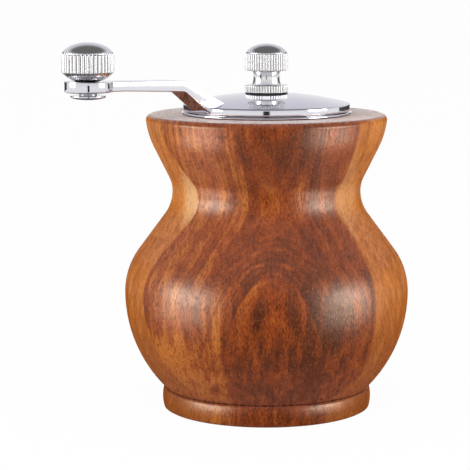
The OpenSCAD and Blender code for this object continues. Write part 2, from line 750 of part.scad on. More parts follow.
module crank_lid() {
    crown_r = lid_r - 3 * bevel;
    rim_turn = 76;
    color(chrome_c) difference() {
        union() {
            rotate_extrude() polygon(concat(
                [[0, boss_z], [boss_r - chamfer, boss_z], [boss_r, boss_z + chamfer]],
                [for (i = [0:8]) let (r = boss_r + (lip_low_r - boss_r) * i / 8)
                    [r, dome_height(r) - lid_t]],
                [[lip_low_r, lid_z - lip_h], [lip_r, lid_z - lip_h],
                 [lip_r, lid_z], [lid_r - bevel, lid_z], [lid_r, lid_z + bevel]],
                arc(lid_r - chamfer, rim_z - chamfer, chamfer, 0, rim_turn, 5),
                [for (i = [0:11]) let (r = crown_r - (crown_r - boss_r) * i / 11)
                    [r, dome_height(r)]],
                [[0, seat_z]]));
            intersection() {
                translate([0, crank_w / 2, 0]) rotate([90, 0, 0])
                    linear_extrude(height = crank_w) arm_side();
                over_lid();
            }
            translate([-crank_l, 0, arm_low_z]) cylinder(r = eye_r, h = crank_t);
        }
        square_bar(boss_z - over, seat_z - boss_z + 2 * over, run);
        translate([-crank_l, 0, arm_low_z - over])
            cylinder(r = bolt_r + run, h = crank_t + 2 * over, $fn = 48);
    }
}

module knob_bolt() {
    seat = arm_low_z - bolt_washer_h;
    rim = bolt_head_h / 3;
    color(chrome_c) translate([-crank_l, 0, 0]) difference() {
        union() {
            translate([0, 0, seat]) mirror([0, 0, 1]) rotate_extrude() polygon(concat(
                [[0, 0], [bolt_head_r, 0]],
                dome_outline(bolt_head_r, rim, bolt_head_h - rim)));
            translate([0, 0, seat - rim])
                cylinder(r = bolt_r, h = bolt_top_z - seat + rim, $fn = 48);
        }
        translate([0, 0, clip_bore_z + gap])
            tube(bolt_r + over, bolt_r - bolt_groove, knob_clip_h + 2 * face, $fn = 48);
    }
}

module bolt_washer() {
    color(steel_c) translate([-crank_l, 0, arm_low_z - bolt_washer_h + run])
        tube(bolt_r + bolt_washer_w, bolt_r + run, bolt_washer_h - 2 * run, $fn = 48);
}

module knob_clip() {
    slot_w = 0.8 * bolt_r;
    color(steel_c) translate([-crank_l, 0, clip_bore_z + gap + face]) difference() {
        tube(knob_clip_r, bolt_r - bolt_groove + run, knob_clip_h, $fn = 48);
        translate([0, -slot_w / 2, -over])
            cube([knob_clip_r + over, slot_w, knob_clip_h + 2 * over]);
    }
}

module crank_knob() {
    rim_r = knob_r - chamfer;
    dome_z = band_z + knob_band_h;
    color(chrome_c) translate([-crank_l, 0, 0]) difference() {
        rotate_extrude() polygon(concat(
            [[0, knob_z]],
            bowed([knob_foot_r, knob_z], [rim_r, band_z - face], knob_foot_bow),
            [[knob_r, band_z + bevel], [knob_r, dome_z - bevel]],
            dome_outline(knob_r - bevel, dome_z, knob_dome_h)));
        around(knob_flutes) translate([knob_r + knob_flute_r - knob_flute_d, 0, band_z - over])
            cylinder(r = knob_flute_r, h = knob_band_h + 2 * over, $fn = 16);
        translate([0, 0, knob_z - over])
            cylinder(r = bolt_r + run, h = bolt_top_z - knob_z + over + gap, $fn = 48);
        translate([0, 0, clip_bore_z])
            cylinder(r = knob_clip_r + gap, h = clip_bore_h, $fn = 48);
    }
}

module finial_washer() {
    color(black_c) translate([0, 0, seat_z + run])
        tube(finial_r - run, thread_r + run, washer_t);
}

module finial_nut() {
    neck_bow = (finial_neck_h * finial_neck_h / 4 + finial_neck_dip * finial_neck_dip)
               / (2 * finial_neck_dip);
    neck_a = asin(finial_neck_h / 2 / neck_bow);
    neck_c = finial_neck_r - finial_neck_dip + neck_bow;
    edge_r = finial_r - bevel;
    flute_x = finial_r + finial_flute_r - finial_flute_d;
    color(chrome_c) difference() {
        rotate_extrude() polygon(concat(
            [[0, finial_z], [edge_r, finial_z], [finial_r, finial_z + bevel],
             [finial_r, neck_z - bevel], [edge_r, neck_z]],
            arc(neck_c, neck_z + finial_neck_h / 2, neck_bow, 180 + neck_a, 180 - neck_a, 8),
            [[edge_r, finial_band_z], [finial_r, finial_band_z + bevel],
             [finial_r, finial_dome_z - bevel]],
            dome_outline(edge_r, finial_dome_z, finial_dome_h)));
        around(finial_flutes) translate([flute_x, 0, finial_z - over])
            cylinder(r = finial_flute_r, h = finial_ring_h + 2 * over, $fn = 16);
        around(finial_flutes) translate([flute_x, 0, finial_band_z - over])
            cylinder(r = finial_flute_r, h = finial_band_h + 2 * over, $fn = 16);
        translate([0, 0, finial_z - over])
            cylinder(r = thread_r + run, h = shaft_high_z - finial_z + over + gap);
    }
}

base_cup();
cup_seal();
mill_body();
top_collar();
shaft_bridge();
bridge_screws();
upper_bushing();
burr_housing();
housing_screws();
outer_burr();
lower_bushing();
drive_shaft();
shaft_clip();
spring_washer();
burr_spring();
inner_burr();
detent_washer();
adjusting_nut();
crank_lid();
knob_bolt();
bolt_washer();
knob_clip();
finial_washer();
finial_nut();
crank_knob();
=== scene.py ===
# %% [markdown]
# # A hand coffee mill in turned wood and bright metal
# The mill has a bulbous turned body on a low foot, a domed metal lid with a crank arm, and two fluted
# metal turnings: the knob on the arm and the finial on the shaft. The inner parts come from the
# construction model, and the parts that are seen are made again here as smooth surfaces.

# %% Open the frame
from collections import namedtuple
import math
import bmesh
import bpy
import numpy as np
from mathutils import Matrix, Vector


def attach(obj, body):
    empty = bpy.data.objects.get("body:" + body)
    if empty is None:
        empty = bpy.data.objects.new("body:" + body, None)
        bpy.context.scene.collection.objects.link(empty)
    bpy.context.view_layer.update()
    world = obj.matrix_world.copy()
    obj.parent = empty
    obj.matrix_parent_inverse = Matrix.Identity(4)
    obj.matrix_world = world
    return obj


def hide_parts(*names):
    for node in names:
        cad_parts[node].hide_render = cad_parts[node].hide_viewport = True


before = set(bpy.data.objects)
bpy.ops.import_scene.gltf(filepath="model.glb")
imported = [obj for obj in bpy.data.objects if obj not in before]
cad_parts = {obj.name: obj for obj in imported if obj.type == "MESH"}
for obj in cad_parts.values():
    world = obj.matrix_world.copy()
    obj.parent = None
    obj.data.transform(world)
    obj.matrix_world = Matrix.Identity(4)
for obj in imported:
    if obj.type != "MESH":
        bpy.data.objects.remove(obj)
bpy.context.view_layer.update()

MM = 0.001

# %% [markdown]
# The camera stands a little above the lid and looks down by about eight degrees, turned so that the
# crank's arm points out to the left and a little towards it. A lens of 150 mm from 0.7 m keeps the
# perspective gentle, as a product picture's is. The sideways shift leaves room for the crank.

# %% Camera
TURN, PITCH = math.radians(41), math.radians(8.3)
DISTANCE, LOOK_AT = 0.7039, Vector((0, 0, 0.06203))
LENS, SENSOR, SHIFT, FARTHEST = 149.76, 36, -0.067, 100
TOWARDS = np.array([-math.sin(TURN), -math.cos(TURN), 0.0])
SIDEWAYS = np.array([math.cos(TURN), -math.sin(TURN), 0.0])

back_off = Vector(TOWARDS) * math.cos(PITCH) + Vector((0, 0, math.sin(PITCH)))
camera = bpy.data.objects.new("camera", bpy.data.cameras.new("camera"))
camera.location = LOOK_AT + DISTANCE * back_off
camera.rotation_euler = (-back_off).to_track_quat("-Z", "Y").to_euler()
camera.data.lens = LENS
camera.data.sensor_width = SENSOR
camera.data.shift_x = SHIFT
camera.data.clip_end = FARTHEST
bpy.context.collection.objects.link(camera)
bpy.context.scene.camera = camera
bpy.context.scene.view_settings.view_transform = "Standard"
print("camera at", tuple(round(v, 3) for v in camera.location))

# %% [markdown]
# Almost every visible piece of a mill comes off a lathe, so one helper makes most of the object: it
# takes a grid of points, joins neighbours into four-sided faces and welds the points that coincide,
# which closes the seams and the poles. The volume it prints is positive when the faces point out.

# %% A surface from a grid of points
WELD, SLIVER, CUBIC_CM = 1e-6, 1e-7, 1e-6


def grid_piece(name, points, round_rows=False):
    """A mesh from points[row, column] in mm, whose columns close into rings and whose rows may too.
    Each face joins (i, j), (i, j+1), (i+1, j+1), (i+1, j)."""
    rows, columns = points.shape[:2]
    index = np.arange(rows * columns).reshape(rows, columns)
    if round_rows:
        index = np.vstack([index, index[:1]])
    index = np.hstack([index, index[:, :1]])
    corners = [index[:-1, :-1], index[:-1, 1:], index[1:, 1:], index[1:, :-1]]
    quads = np.stack(corners, axis=-1).reshape(-1, 4)
    mesh = bpy.data.meshes.new(name)
    mesh.from_pydata((points.reshape(-1, 3) * MM).tolist(), [], quads.tolist())
    work = bmesh.new()
    work.from_mesh(mesh)
    bmesh.ops.remove_doubles(work, verts=work.verts, dist=WELD)
    bmesh.ops.dissolve_degenerate(work, edges=work.edges, dist=SLIVER)
    volume = work.calc_volume(signed=True) / CUBIC_CM
    work.to_mesh(mesh)
    work.free()
    mesh.polygons.foreach_set("use_smooth", np.ones(len(mesh.polygons), dtype=bool))
    piece = bpy.data.objects.new(name, mesh)
    bpy.context.collection.objects.link(piece)
    print(f"{name}: {len(mesh.polygons)} faces, {volume:.2f} cm3")
    return piece


def stand_in(piece, node, body):
    """Shows the piece in place of a node, moving with its body."""
    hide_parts(node)
    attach(piece, body)
    return piece

# %% [markdown]
# A turned piece is an outline of radius and height swung round the axis. Two small helpers draw the
# outlines: an arc by its centre and angles, and a run of corners whose sharpness is eased, as every
# real edge is broken a little by a file or by sandpaper. The eased edge is what catches the light.

# %% Outlines and turned pieces
def arc(centre_r, centre_z, radius, start, end, count):
    """Points at centre + radius * (cos a, sin a), the angle a running from start to end in degrees."""
    a = np.radians(np.linspace(start, end, count))
    return np.stack([centre_r + radius * np.cos(a), centre_z + radius * np.sin(a)], axis=1)


def eased(corners, count=5):
    """Each corner (r, z, ease) becomes the curve (1-t)^2 A + 2t(1-t) P + t^2 B, where A and B lie
    at the ease's length from the corner P towards its neighbours. Ends keep their place."""
    corners = np.array(corners, dtype=float)
    p = corners[:, :2]
    before = np.vstack([p[:1], p[:-1]]) - p
    after = np.vstack([p[1:], p[-1:]]) - p
    unit = lambda v: v / np.maximum(np.linalg.norm(v, axis=1, keepdims=True), 1e-9)
    a = (p + unit(before) * corners[:, 2:])[:, None]
    b = (p + unit(after) * corners[:, 2:])[:, None]
    t = np.linspace(0, 1, count)[None, :, None]
    curve = (1 - t) ** 2 * a + 2 * t * (1 - t) * p[:, None] + t ** 2 * b
    return curve.reshape(-1, 2)


def even(outline, step):
    """The same outline with points at equal steps along its length."""
    length = np.concatenate([[0], np.cumsum(np.linalg.norm(np.diff(outline, axis=0), axis=1))])
    at = np.linspace(0, length[-1], max(2, int(length[-1] / step)))
    return np.stack([np.interp(at, length, outline[:, k]) for k in range(2)], axis=1)


def full_circle(columns):
    """Evenly spaced angles in one row, without the last, which would repeat the first."""
    return np.linspace(0, 2 * np.pi, columns, endpoint=False)[None, :]


def swung(outline, columns, centre=(0, 0), limit=np.inf):
    """Grid of (r cos a, r sin a, z) about an upright axis through the centre, where r is held under
    a limit, which may differ from column to column."""
    a = full_circle(columns)
    r = np.minimum(outline[:, :1], limit)
    x = centre[0] + r * np.cos(a)
    y = centre[1] + r * np.sin(a)
    return np.stack([x, y, outline[:, 1:] + 0 * a], axis=-1)

# %% [markdown]
# The body's silhouette is a chain of arcs that run into each other without a corner: a full bulb, a
# tight hollow waist and a flaring shoulder. A turner would cut it so, with one sweep of the gouge
# for each arc. Where a full arc meets a hollow one, a short straight line touches both; its angle
# follows from the two radii and the distance of the centres.

# %% The body's outline
BULB_R, BULB_Z, BULB_LOW, BULB_HIGH = 50.96, 42.05, 48.66, 25.17
WAIST_R, WAIST_Z, WAIST_LOW, WAIST_HIGH = 33.69, 78.48, 14.5, 11.34
SHOULDER_R, SHOULDER_Z, SHOULDER_ARC = 43.24, 107.56, 30.74
TOP_Z, TOP_EASE = 105.8, 2.0
JOINT_Z, FOOT_Z = 7.8, 7.5
HOPPER_R, STEP_R, STEP_Z = 24.5, 29.3, 96.0
CHAMBER_R, CHAMBER_Z = 31.8, 38.0


def leaving(full_r, full_z, full, hollow_r, hollow_z, hollow, side):
    """Angle of the line that touches a full and a hollow arc: the angle of the centres' line, plus
    or minus arccos((full + hollow) / distance)."""
    along = np.degrees(np.arctan2(hollow_z - full_z, hollow_r - full_r))
    apart = np.hypot(hollow_r - full_r, hollow_z - full_z)
    return along + side * np.degrees(np.arccos((full + hollow) / apart))


def body_side():
    """The outer side from the foot joint up to the flat top, as arcs end to end."""
    low_r = BULB_R - BULB_LOW
    high_r = BULB_R - BULB_HIGH
    waist_r = WAIST_R + WAIST_LOW
    neck_r = WAIST_R + WAIST_HIGH
    shoulder_r = SHOULDER_R - SHOULDER_ARC
    start = np.degrees(np.arcsin((JOINT_Z - BULB_Z) / BULB_LOW))
    bulb = leaving(high_r, BULB_Z, BULB_HIGH, waist_r, WAIST_Z, WAIST_LOW, -1)
    neck = leaving(shoulder_r, SHOULDER_Z, SHOULDER_ARC, neck_r, WAIST_Z, WAIST_HIGH, 1)
    edge_z = TOP_Z - TOP_EASE
    edge = np.degrees(np.arcsin((edge_z - SHOULDER_Z) / SHOULDER_ARC))
    edge_r = shoulder_r + SHOULDER_ARC * np.cos(np.radians(edge)) - TOP_EASE
    return np.vstack([
        arc(low_r, BULB_Z, BULB_LOW, start, -0.5, 40),
        arc(high_r, BULB_Z, BULB_HIGH, 0, bulb, 26),
        arc(waist_r, WAIST_Z, WAIST_LOW, 180 + bulb, 180.5, 20),
        arc(neck_r, WAIST_Z, WAIST_HIGH, 180, 180 + neck, 16),
        arc(shoulder_r, SHOULDER_Z, SHOULDER_ARC, neck, edge, 20),
        arc(edge_r, edge_z, TOP_EASE, 4, 90, 10),
    ])


side = body_side()
print(f"side of {len(side)} points, {side[:, 0].min():.1f} to {side[:, 0].max():.1f} mm in radius")

# %% [markdown]
# The body is one block of wood, bored from both ends: the hopper from above, with a step for the
# metal ring, and a wider chamber from below for the cup. The outline therefore goes up the outside
# and comes down the bores, and closes on itself. End grain takes its finish differently from the
# side, so each point also stores how far it faces up or down, for the wood's material to read.

# %% Body
def numbers(items, what, each=1):
    """One property of all items, such as the places of all points, as one flat array."""
    values = np.empty(len(items) * each)
    items.foreach_get(what, values)
    return values


def store(mesh, name, values):
    """Keeps one number on each point, which a material can read by its name."""
    mesh.attributes.new(name, "FLOAT", "POINT").data.foreach_set("value", values)


def end_grain(piece):
    """Stores |normal z| squared on each point, 1 where the wood is cut across its grain."""
    store(piece.data, "end_grain", numbers(piece.data.vertex_normals, "vector", 3)[2::3] ** 2)
    return piece


bores = eased([
    (STEP_R + 2, TOP_Z, 0), (STEP_R, TOP_Z, 0.4), (STEP_R, STEP_Z, 0.1), (HOPPER_R, STEP_Z, 0.3),
    (HOPPER_R, CHAMBER_Z, 0.3), (CHAMBER_R, CHAMBER_Z, 0.3), (CHAMBER_R, JOINT_Z, 0.3),
])
body_outline = np.vstack([side, bores])
body = grid_piece("turned_body", swung(body_outline, 288), round_rows=True)
stand_in(end_grain(body), "mill_body", "housing")

# %% [markdown]
# The foot is a low disc with a slightly bellied side, and the cup that catches the coffee is turned
# in one piece with it. It plugs up into the body, with a rubber ring in a groove round it.

# %% Foot and cup
FOOT_R, FOOT_BELLY = 37.65, 0.55
PLUG_R, CAVITY_R, CUP_TOP, CUP_FLOOR, CUP_CORNER = 31.5, 28.3, 31.5, 5.0, 3.0
SEAL_Z, GROOVE_R, GROOVE_H = 18.2, 29.6, 2.3

belly = (FOOT_Z ** 2 / 4 + FOOT_BELLY ** 2) / (2 * FOOT_BELLY)
reach = np.degrees(np.arcsin(FOOT_Z / 2 / belly)) * 0.92
foot_outline = np.vstack([
    [[0, 0], [FOOT_R - FOOT_BELLY - 0.45, 0]],
    arc(FOOT_R - belly, FOOT_Z / 2, belly, -reach, reach, 14),
    eased([
        (FOOT_R - FOOT_BELLY - 0.45, FOOT_Z, 0), (PLUG_R, FOOT_Z, 0.1),
        (PLUG_R, SEAL_Z - GROOVE_H / 2, 0.1), (GROOVE_R, SEAL_Z - GROOVE_H / 2, 0.1),
        (GROOVE_R, SEAL_Z + GROOVE_H / 2, 0.1), (PLUG_R, SEAL_Z + GROOVE_H / 2, 0.1),
        (PLUG_R, CUP_TOP, 0.6), (CAVITY_R, CUP_TOP, 0.6), (CAVITY_R, CUP_FLOOR + CUP_CORNER, 0),
    ]),
    arc(CAVITY_R - CUP_CORNER, CUP_FLOOR + CUP_CORNER, CUP_CORNER, 0, -90, 10),
    [[0, CUP_FLOOR]],
])
foot = grid_piece("foot_and_cup", swung(foot_outline, 256))
stand_in(end_grain(foot), "base_cup", "base")

# %% [markdown]
# The collar is a thin plated ring that lines the mouth of the body. Only its rounded flange shows,
# as a bright line round the lid. The lid is a shallow dome with an upright rim, and under it a lip
# that centres it in the collar and a boss with a square hole for the shaft.

# %% Collar and lid
FLANGE_R, FLANGE_H, SLEEVE_R, SLEEVE_T, SLEEVE_LOW = 30.4, 0.9, 29.0, 0.8, 98.3
LID_Z, RIM_Z, LID_R, LID_RISE, LID_T = 107.1, 109.5, 29.9, 3.8, 2.4
LIP_R, LIP_H, BOSS_R, BOSS_Z = 27.8, 3.6, 8.0, 101.1
SHAFT_R, SQUARE = 4.05, 3.15
DOME = (LID_R ** 2 + LID_RISE ** 2) / (2 * LID_RISE)
DOME_Z = RIM_Z + LID_RISE - DOME


def dome_height(r):
    """Height of the lid's top: centre height + sqrt(dome radius^2 - r^2)."""
    return DOME_Z + np.sqrt(DOME ** 2 - np.minimum(r, LID_R) ** 2)


def dome_run(start, end, drop, count):
    """Points of the dome between two radii, lowered by a drop."""
    r = np.linspace(start, end, count)
    return np.stack([r, dome_height(r) - drop], axis=1)


collar_z = TOP_Z + 0.1
bead = FLANGE_H / 2
collar_outline = np.vstack([
    [[SLEEVE_R - SLEEVE_T, SLEEVE_LOW], [SLEEVE_R, SLEEVE_LOW], [SLEEVE_R, collar_z]],
    arc(FLANGE_R - bead, collar_z + bead, bead, -90, 90, 12),
    eased([(SLEEVE_R, collar_z + FLANGE_H, 0), (SLEEVE_R - SLEEVE_T, collar_z + FLANGE_H, 0.3),
           (SLEEVE_R - SLEEVE_T, 100, 0)]),
])
collar = grid_piece("collar_ring", swung(collar_outline, 256), round_rows=True)
stand_in(collar, "top_collar", "housing")

seat_z = float(dome_height(BOSS_R))
lid_outline = np.vstack([
    eased([(SHAFT_R, BOSS_Z, 0.2), (BOSS_R, BOSS_Z, 0.5), (BOSS_R, seat_z - LID_T, 0)]),
    dome_run(BOSS_R + 0.1, LIP_R - 2, LID_T, 12),
    eased([
        (LIP_R - 2, LID_Z - LIP_H, 0.2), (LIP_R, LID_Z - LIP_H, 0.2), (LIP_R, LID_Z, 0.05),
        (LID_R, LID_Z, 0.3), (LID_R, RIM_Z, 0.5), (LID_R - 0.9, dome_height(LID_R - 0.9), 0.2),
    ], 6),
    dome_run(LID_R - 1.2, BOSS_R, 0.0, 40),
    eased([(SHAFT_R, seat_z, 0.2), (SHAFT_R, BOSS_Z + 1, 0)]),
])
lid_points = swung(lid_outline, 256)

# The hole follows the shaft's clipped square instead of a circle.
angle = full_circle(256)
square = np.minimum(SHAFT_R, SQUARE / np.maximum(np.abs(np.cos(angle)), np.abs(np.sin(angle))))
inside = np.hypot(lid_points[..., 0], lid_points[..., 1]) < SHAFT_R + 0.3
shrink = np.where(inside, square / SHAFT_R, 1.0)
lid_points[..., 0] *= shrink
lid_points[..., 1] *= shrink
lid = grid_piece("lid_disc", lid_points, round_rows=True)
stand_in(lid, "crank_lid", "crank")

# %% [markdown]
# The crank's arm is a bar bent once: it lies nearly level at the knob, then slopes down and is
# welded to the lid. Its end is forged into a round eye. Outside the lid its heights depend only on
# the distance along the arm, so the bend bends everything at once. A modeller could also bend a
# straight bar with a modifier, but then the bend's place and slopes would be harder to state.

# %% Crank arm: its heights
REACH, ARM_HALF, EYE_R, EYE_LOW = 78.0, 4.4, 7.8, 117.06
BEND_X, BEND_Z, BEND_T = 39.9, 119.2, 3.7
CLIMB, TOP_SLOPE, LOW_SLOPE = 1.74, 27.0, 37.5
UNDER_X, UNDER_Z = BEND_X + 0.5, BEND_Z - BEND_T
UNDER_CLIMB = math.degrees(math.atan2(EYE_LOW - UNDER_Z, REACH - EYE_R - UNDER_X))
ROOT_X, ARM_EASE, THINNEST, MOST_EASE = 21.0, 0.32, 0.05, 0.4
TOP_BEND, LOW_BEND, TOP_BURIED, LOW_BURIED = 1.2, 0.5, 0.8, 1.6


def soft_bend(distance, flat_slope, steep_slope, sharpness):
    """Height against the distance past the bend: two straight slopes joined by a curve,
    (a + b) / 2 * d + (b - a) / 2 * (sqrt(d^2 + s^2) - s)."""
    flat = np.tan(np.radians(flat_slope))
    steep = np.tan(np.radians(steep_slope))
    curve = np.sqrt(distance ** 2 + sharpness ** 2) - sharpness
    return -((flat + steep) / 2 * distance + (steep - flat) / 2 * curve)


def within_lid(x, y, height, buried):
    """Over the lid, the larger of a height and the lid's top less a depth; elsewhere the height."""
    away = np.hypot(x, y)
    return np.where(away < LID_R - 0.5, np.maximum(height, dome_height(away) - buried), height)


def arm_top(x, y):
    """Height of the arm's upper face. Inside the lid it stays within the lid's thickness."""
    slope = BEND_Z + soft_bend(BEND_X + x, CLIMB, TOP_SLOPE, TOP_BEND)
    return within_lid(x, y, slope, TOP_BURIED)


def arm_low(x, y):
    """Height of the arm's underside, kept above the lid's underside where it runs into the lid."""
    slope = UNDER_Z + soft_bend(UNDER_X + x, UNDER_CLIMB, LOW_SLOPE, LOW_BEND)
    return within_lid(x, y, np.minimum(slope, EYE_LOW), LOW_BURIED)


print("arm at the bend", [round(float(f(-BEND_X, 0)), 2) for f in (arm_low, arm_top)], "mm high")

# %% [markdown]
# The arm is one surface from its plan outline. Each ring of the grid is the outline drawn in towards
# the arm's middle line, on the top from the middle outwards and then back again underneath.

# %% Crank arm: its surface
def line(x, y):
    """Points of the plan from arrays or single numbers for x and y."""
    return np.stack(np.broadcast_arrays(x, y), axis=1)


turn = np.degrees(np.arcsin(ARM_HALF / EYE_R))
eye = arc(-REACH, 0, EYE_R, turn, 360 - turn, 96)
along = np.concatenate([
    np.linspace(-ROOT_X, -BEND_X + 4, 24), np.linspace(-BEND_X + 3.7, -BEND_X - 4, 30),
    np.linspace(-BEND_X - 5, eye[0, 0] + 1, 20)])
across = np.linspace(-ARM_HALF, ARM_HALF, 9)[1:-1]
sides = line(along, ARM_HALF), line(along[::-1], -ARM_HALF)
plan = np.concatenate([sides[0], eye, sides[1], line(-ROOT_X, across)])
middle = line(np.clip(plan[:, 0], -REACH, -ROOT_X), 0.0)
quarter = np.radians(np.linspace(90, 0, 7))
flat_in = np.array([1.0, 0.75, 0.5, 0.25])
drawn_in = np.concatenate([flat_in, ARM_EASE / ARM_HALF * (1 - np.cos(quarter))])
sunk = np.concatenate([0 * flat_in, ARM_EASE * (1 - np.sin(quarter))])
inward = np.concatenate([drawn_in, drawn_in[::-1]])[:, None, None]
outline_xy = plan * (1 - inward) + middle * inward
top_z = arm_top(outline_xy[..., 0], outline_xy[..., 1])
low_z = arm_low(outline_xy[..., 0], outline_xy[..., 1])
thick = np.maximum(top_z - low_z, THINNEST)
down = np.minimum(np.concatenate([sunk, sunk[::-1]])[:, None], thick * MOST_EASE)
is_top = np.arange(len(top_z))[:, None] < len(sunk)
arm_z = np.where(is_top, top_z - down, low_z + down)
arm_points = np.concatenate([outline_xy, arm_z[..., None]], axis=-1)
arm = grid_piece("crank_arm", arm_points[::-1])
stand_in(arm, "crank_lid", "crank")

# %% [markdown]
# The knob and the finial are fluted all round with a small ball cutter on an indexing head. The
# cutter stays at one distance from the axis, so the fluted radius is the smaller of the turned
# outline and the cutter's wave. Where the outline falls away inside the wave, the flute runs out in
# a scallop by itself.

# %% Fluted turnings
# The second and third numbers narrow the painted shade to the bottoms of the flutes and keep it to the
# bands.
SCALLOP, GROOVE_SHADE_POWER, BAND_DEPTH, DOME_FULLNESS = 1.4, 3, 0.6, 0.6


def down_a_flute(angle, count, power):
    """From 0 on the crests between the flutes to 1 at their bottoms: (1 - |sin(count a / 2)|)^power."""
    return (1 - np.abs(np.sin(count * angle / 2))) ** power


def fluted(outline, top_radius, count, depth, per_flute, centre=(0, 0)):
    """swung() with its radius held under the top radius less the depth times down_a_flute()."""
    columns = count * per_flute
    wave = top_radius - depth * down_a_flute(full_circle(columns), count, SCALLOP)
    return swung(outline, columns, centre, wave)


def mark_grooves(piece, centre, top_radius, count):
    """Stores down_a_flute() on each point of the fluted bands, with a power that keeps it narrow,
    as the mask of painted shade along the bottom of each flute.
    """
    at = numbers(piece.data.vertices, "co", 3) / MM
    x, y = at[0::3] - centre[0], at[1::3] - centre[1]
    down = down_a_flute(np.arctan2(y, x), count, GROOVE_SHADE_POWER)
    store(piece.data, "groove", down * (np.hypot(x, y) > top_radius - BAND_DEPTH))


def full_dome(rim, low, rise):
    """A dome with full shoulders: height = low + rise * (1 - (r / rim)^2)^fullness."""
    r = rim * np.cos(np.linspace(0, np.pi / 2, 24))
    bulge = np.clip(1 - (r / rim) ** 2, 0, 1) ** DOME_FULLNESS
    return np.stack([r, low + rise * bulge], axis=1)


def bowed(start, end, bow):
    """Points from one place to another along a parabola that bows out by a distance."""
    t = np.linspace(0, 1, 10)[:, None]
    step = np.subtract(end, start)
    side = np.array([step[1], -step[0]]) / np.hypot(*step)
    return np.array(start) + step * t + side * 4 * bow * t * (1 - t)


# %% [markdown]
# The knob is a short turning with a fluted band under a full dome. Its underside swells out from a
# small seat on the arm, and has a blind hole for the bolt that it turns on.

# %% Knob
KNOB_R, KNOB_Z, BAND_Z, BAND_H, KNOB_DOME = 8.7, 120.66, 123.36, 6.4, 3.8
KNOB_SEAT_R, KNOB_BOW, KNOB_FLUTES, KNOB_DEPTH = 3.8, 0.38, 38, 0.5
BOLT_R, BOLT_TOP, BOLT_PLAY, BOLT_ROOM = 2.0, 127.96, 0.1, 0.3

knob_outline = np.vstack([
    [[0, BOLT_TOP + BOLT_ROOM], [BOLT_R + BOLT_PLAY, BOLT_TOP + BOLT_ROOM]],
    [[BOLT_R + BOLT_PLAY, KNOB_Z]],
    bowed((KNOB_SEAT_R, KNOB_Z), (KNOB_R - 0.5, BAND_Z - 0.1), KNOB_BOW),
    even(eased([
        (KNOB_R - 0.4, BAND_Z, 0), (KNOB_R, BAND_Z + 0.3, 0.2),
        (KNOB_R, BAND_Z + BAND_H - 0.3, 0.2), (KNOB_R - 0.3, BAND_Z + BAND_H, 0),
    ]), 0.2),
    full_dome(KNOB_R - 0.3, BAND_Z + BAND_H, KNOB_DOME),
])
knob_points = fluted(knob_outline, KNOB_R, KNOB_FLUTES, KNOB_DEPTH, 12, (-REACH, 0))
knob = grid_piece("fluted_knob", knob_points)
# Painted shade along the bottoms of the knob's flutes.
mark_grooves(knob, (-REACH, 0), KNOB_R, KNOB_FLUTES)
stand_in(knob, "crank_knob", "knob")

# %% [markdown]
# The finial is the nut that holds the lid down. Its low fluted ring, hollow neck and tall fluted
# head are turned in one piece, so they are one outline here, too. The head gives the fingers a grip.

# %% Finial
FINIAL_R, FINIAL_Z, NECK_Z, NECK_H = 7.6, 113.5, 116.05, 5.2
NECK_R, NECK_DIP, TOP_BAND_Z, TOP_BAND_H, CAP_R, CAP_RISE = 5.25, 0.6, 121.25, 6.0, 7.3, 3.5
FINIAL_FLUTES, FINIAL_DEPTH, THREAD_R, SHAFT_TOP, SHAFT_ROOM = 48, 0.4, 3.0, 125.55, 0.3

neck_bow = (NECK_H ** 2 / 4 + NECK_DIP ** 2) / (2 * NECK_DIP)
neck_turn = np.degrees(np.arcsin(NECK_H / 2 / neck_bow))
finial_outline = np.vstack([
    [[0, SHAFT_TOP + SHAFT_ROOM], [THREAD_R, SHAFT_TOP + SHAFT_ROOM], [THREAD_R, FINIAL_Z]],
    even(eased([(THREAD_R, FINIAL_Z, 0), (FINIAL_R, FINIAL_Z, 0.3), (FINIAL_R, NECK_Z, 0.35),
                (NECK_R, NECK_Z, 0.1)]), 0.15),
    arc(NECK_R - NECK_DIP + neck_bow, NECK_Z + NECK_H / 2, neck_bow,
        180 + neck_turn, 180 - neck_turn, 18),
    even(eased([(NECK_R, TOP_BAND_Z, 0.1), (FINIAL_R, TOP_BAND_Z, 0.35),
                (FINIAL_R, TOP_BAND_Z + TOP_BAND_H, 0.2), (CAP_R, TOP_BAND_Z + TOP_BAND_H, 0)]), 0.15),
    full_dome(CAP_R, TOP_BAND_Z + TOP_BAND_H, CAP_RISE),
])
finial_points = fluted(finial_outline, FINIAL_R, FINIAL_FLUTES, FINIAL_DEPTH, 10)
finial = grid_piece("fluted_finial", finial_points)
# Painted shade along the bottoms of the finial's flutes.
mark_grooves(finial, (0, 0), FINIAL_R, FINIAL_FLUTES)
stand_in(finial, "finial_nut", "finial")

# %% [markdown]
# The knob turns on a bolt, whose broad polished head shows under the eye of the arm. A groove near
# the bolt's other end holds the clip that keeps the knob on. The head is a dome turned over.

# %% Knob's bolt
HEAD_R, HEAD_RIM, HEAD_DOME, SEAT_Z = 5.9, 0.5, 1.0, 116.01
CLIP_R, CLIP_LOW, CLIP_HIGH = BOLT_R - 0.5, 124.9, 125.6
dome = full_dome(HEAD_R, 0, HEAD_DOME)[::-1]
bolt_outline = np.vstack([
    np.stack([dome[:, 0], SEAT_Z - HEAD_RIM - dome[:, 1]], axis=1),
    eased([(HEAD_R, SEAT_Z - 0.3, 0), (HEAD_R, SEAT_Z, 0.15), (BOLT_R, SEAT_Z, 0.1),
           (BOLT_R, CLIP_LOW, 0.05), (CLIP_R, CLIP_LOW, 0), (CLIP_R, CLIP_HIGH, 0),
           (BOLT_R, CLIP_HIGH, 0.05), (BOLT_R, BOLT_TOP, 0.3), (0, BOLT_TOP, 0)], 6),
])
bolt = grid_piece("knob_bolt_turned", swung(bolt_outline, 96, (-REACH, 0)))
stand_in(bolt, "knob_bolt", "crank")

# %% [markdown]
# The materials come next, as node trees. Nodes can be placed by hand in Blender's editor, or by a
# script, as here. Short helpers keep that readable: a node's output knows its own tree, so a new
# node goes beside those that feed it.

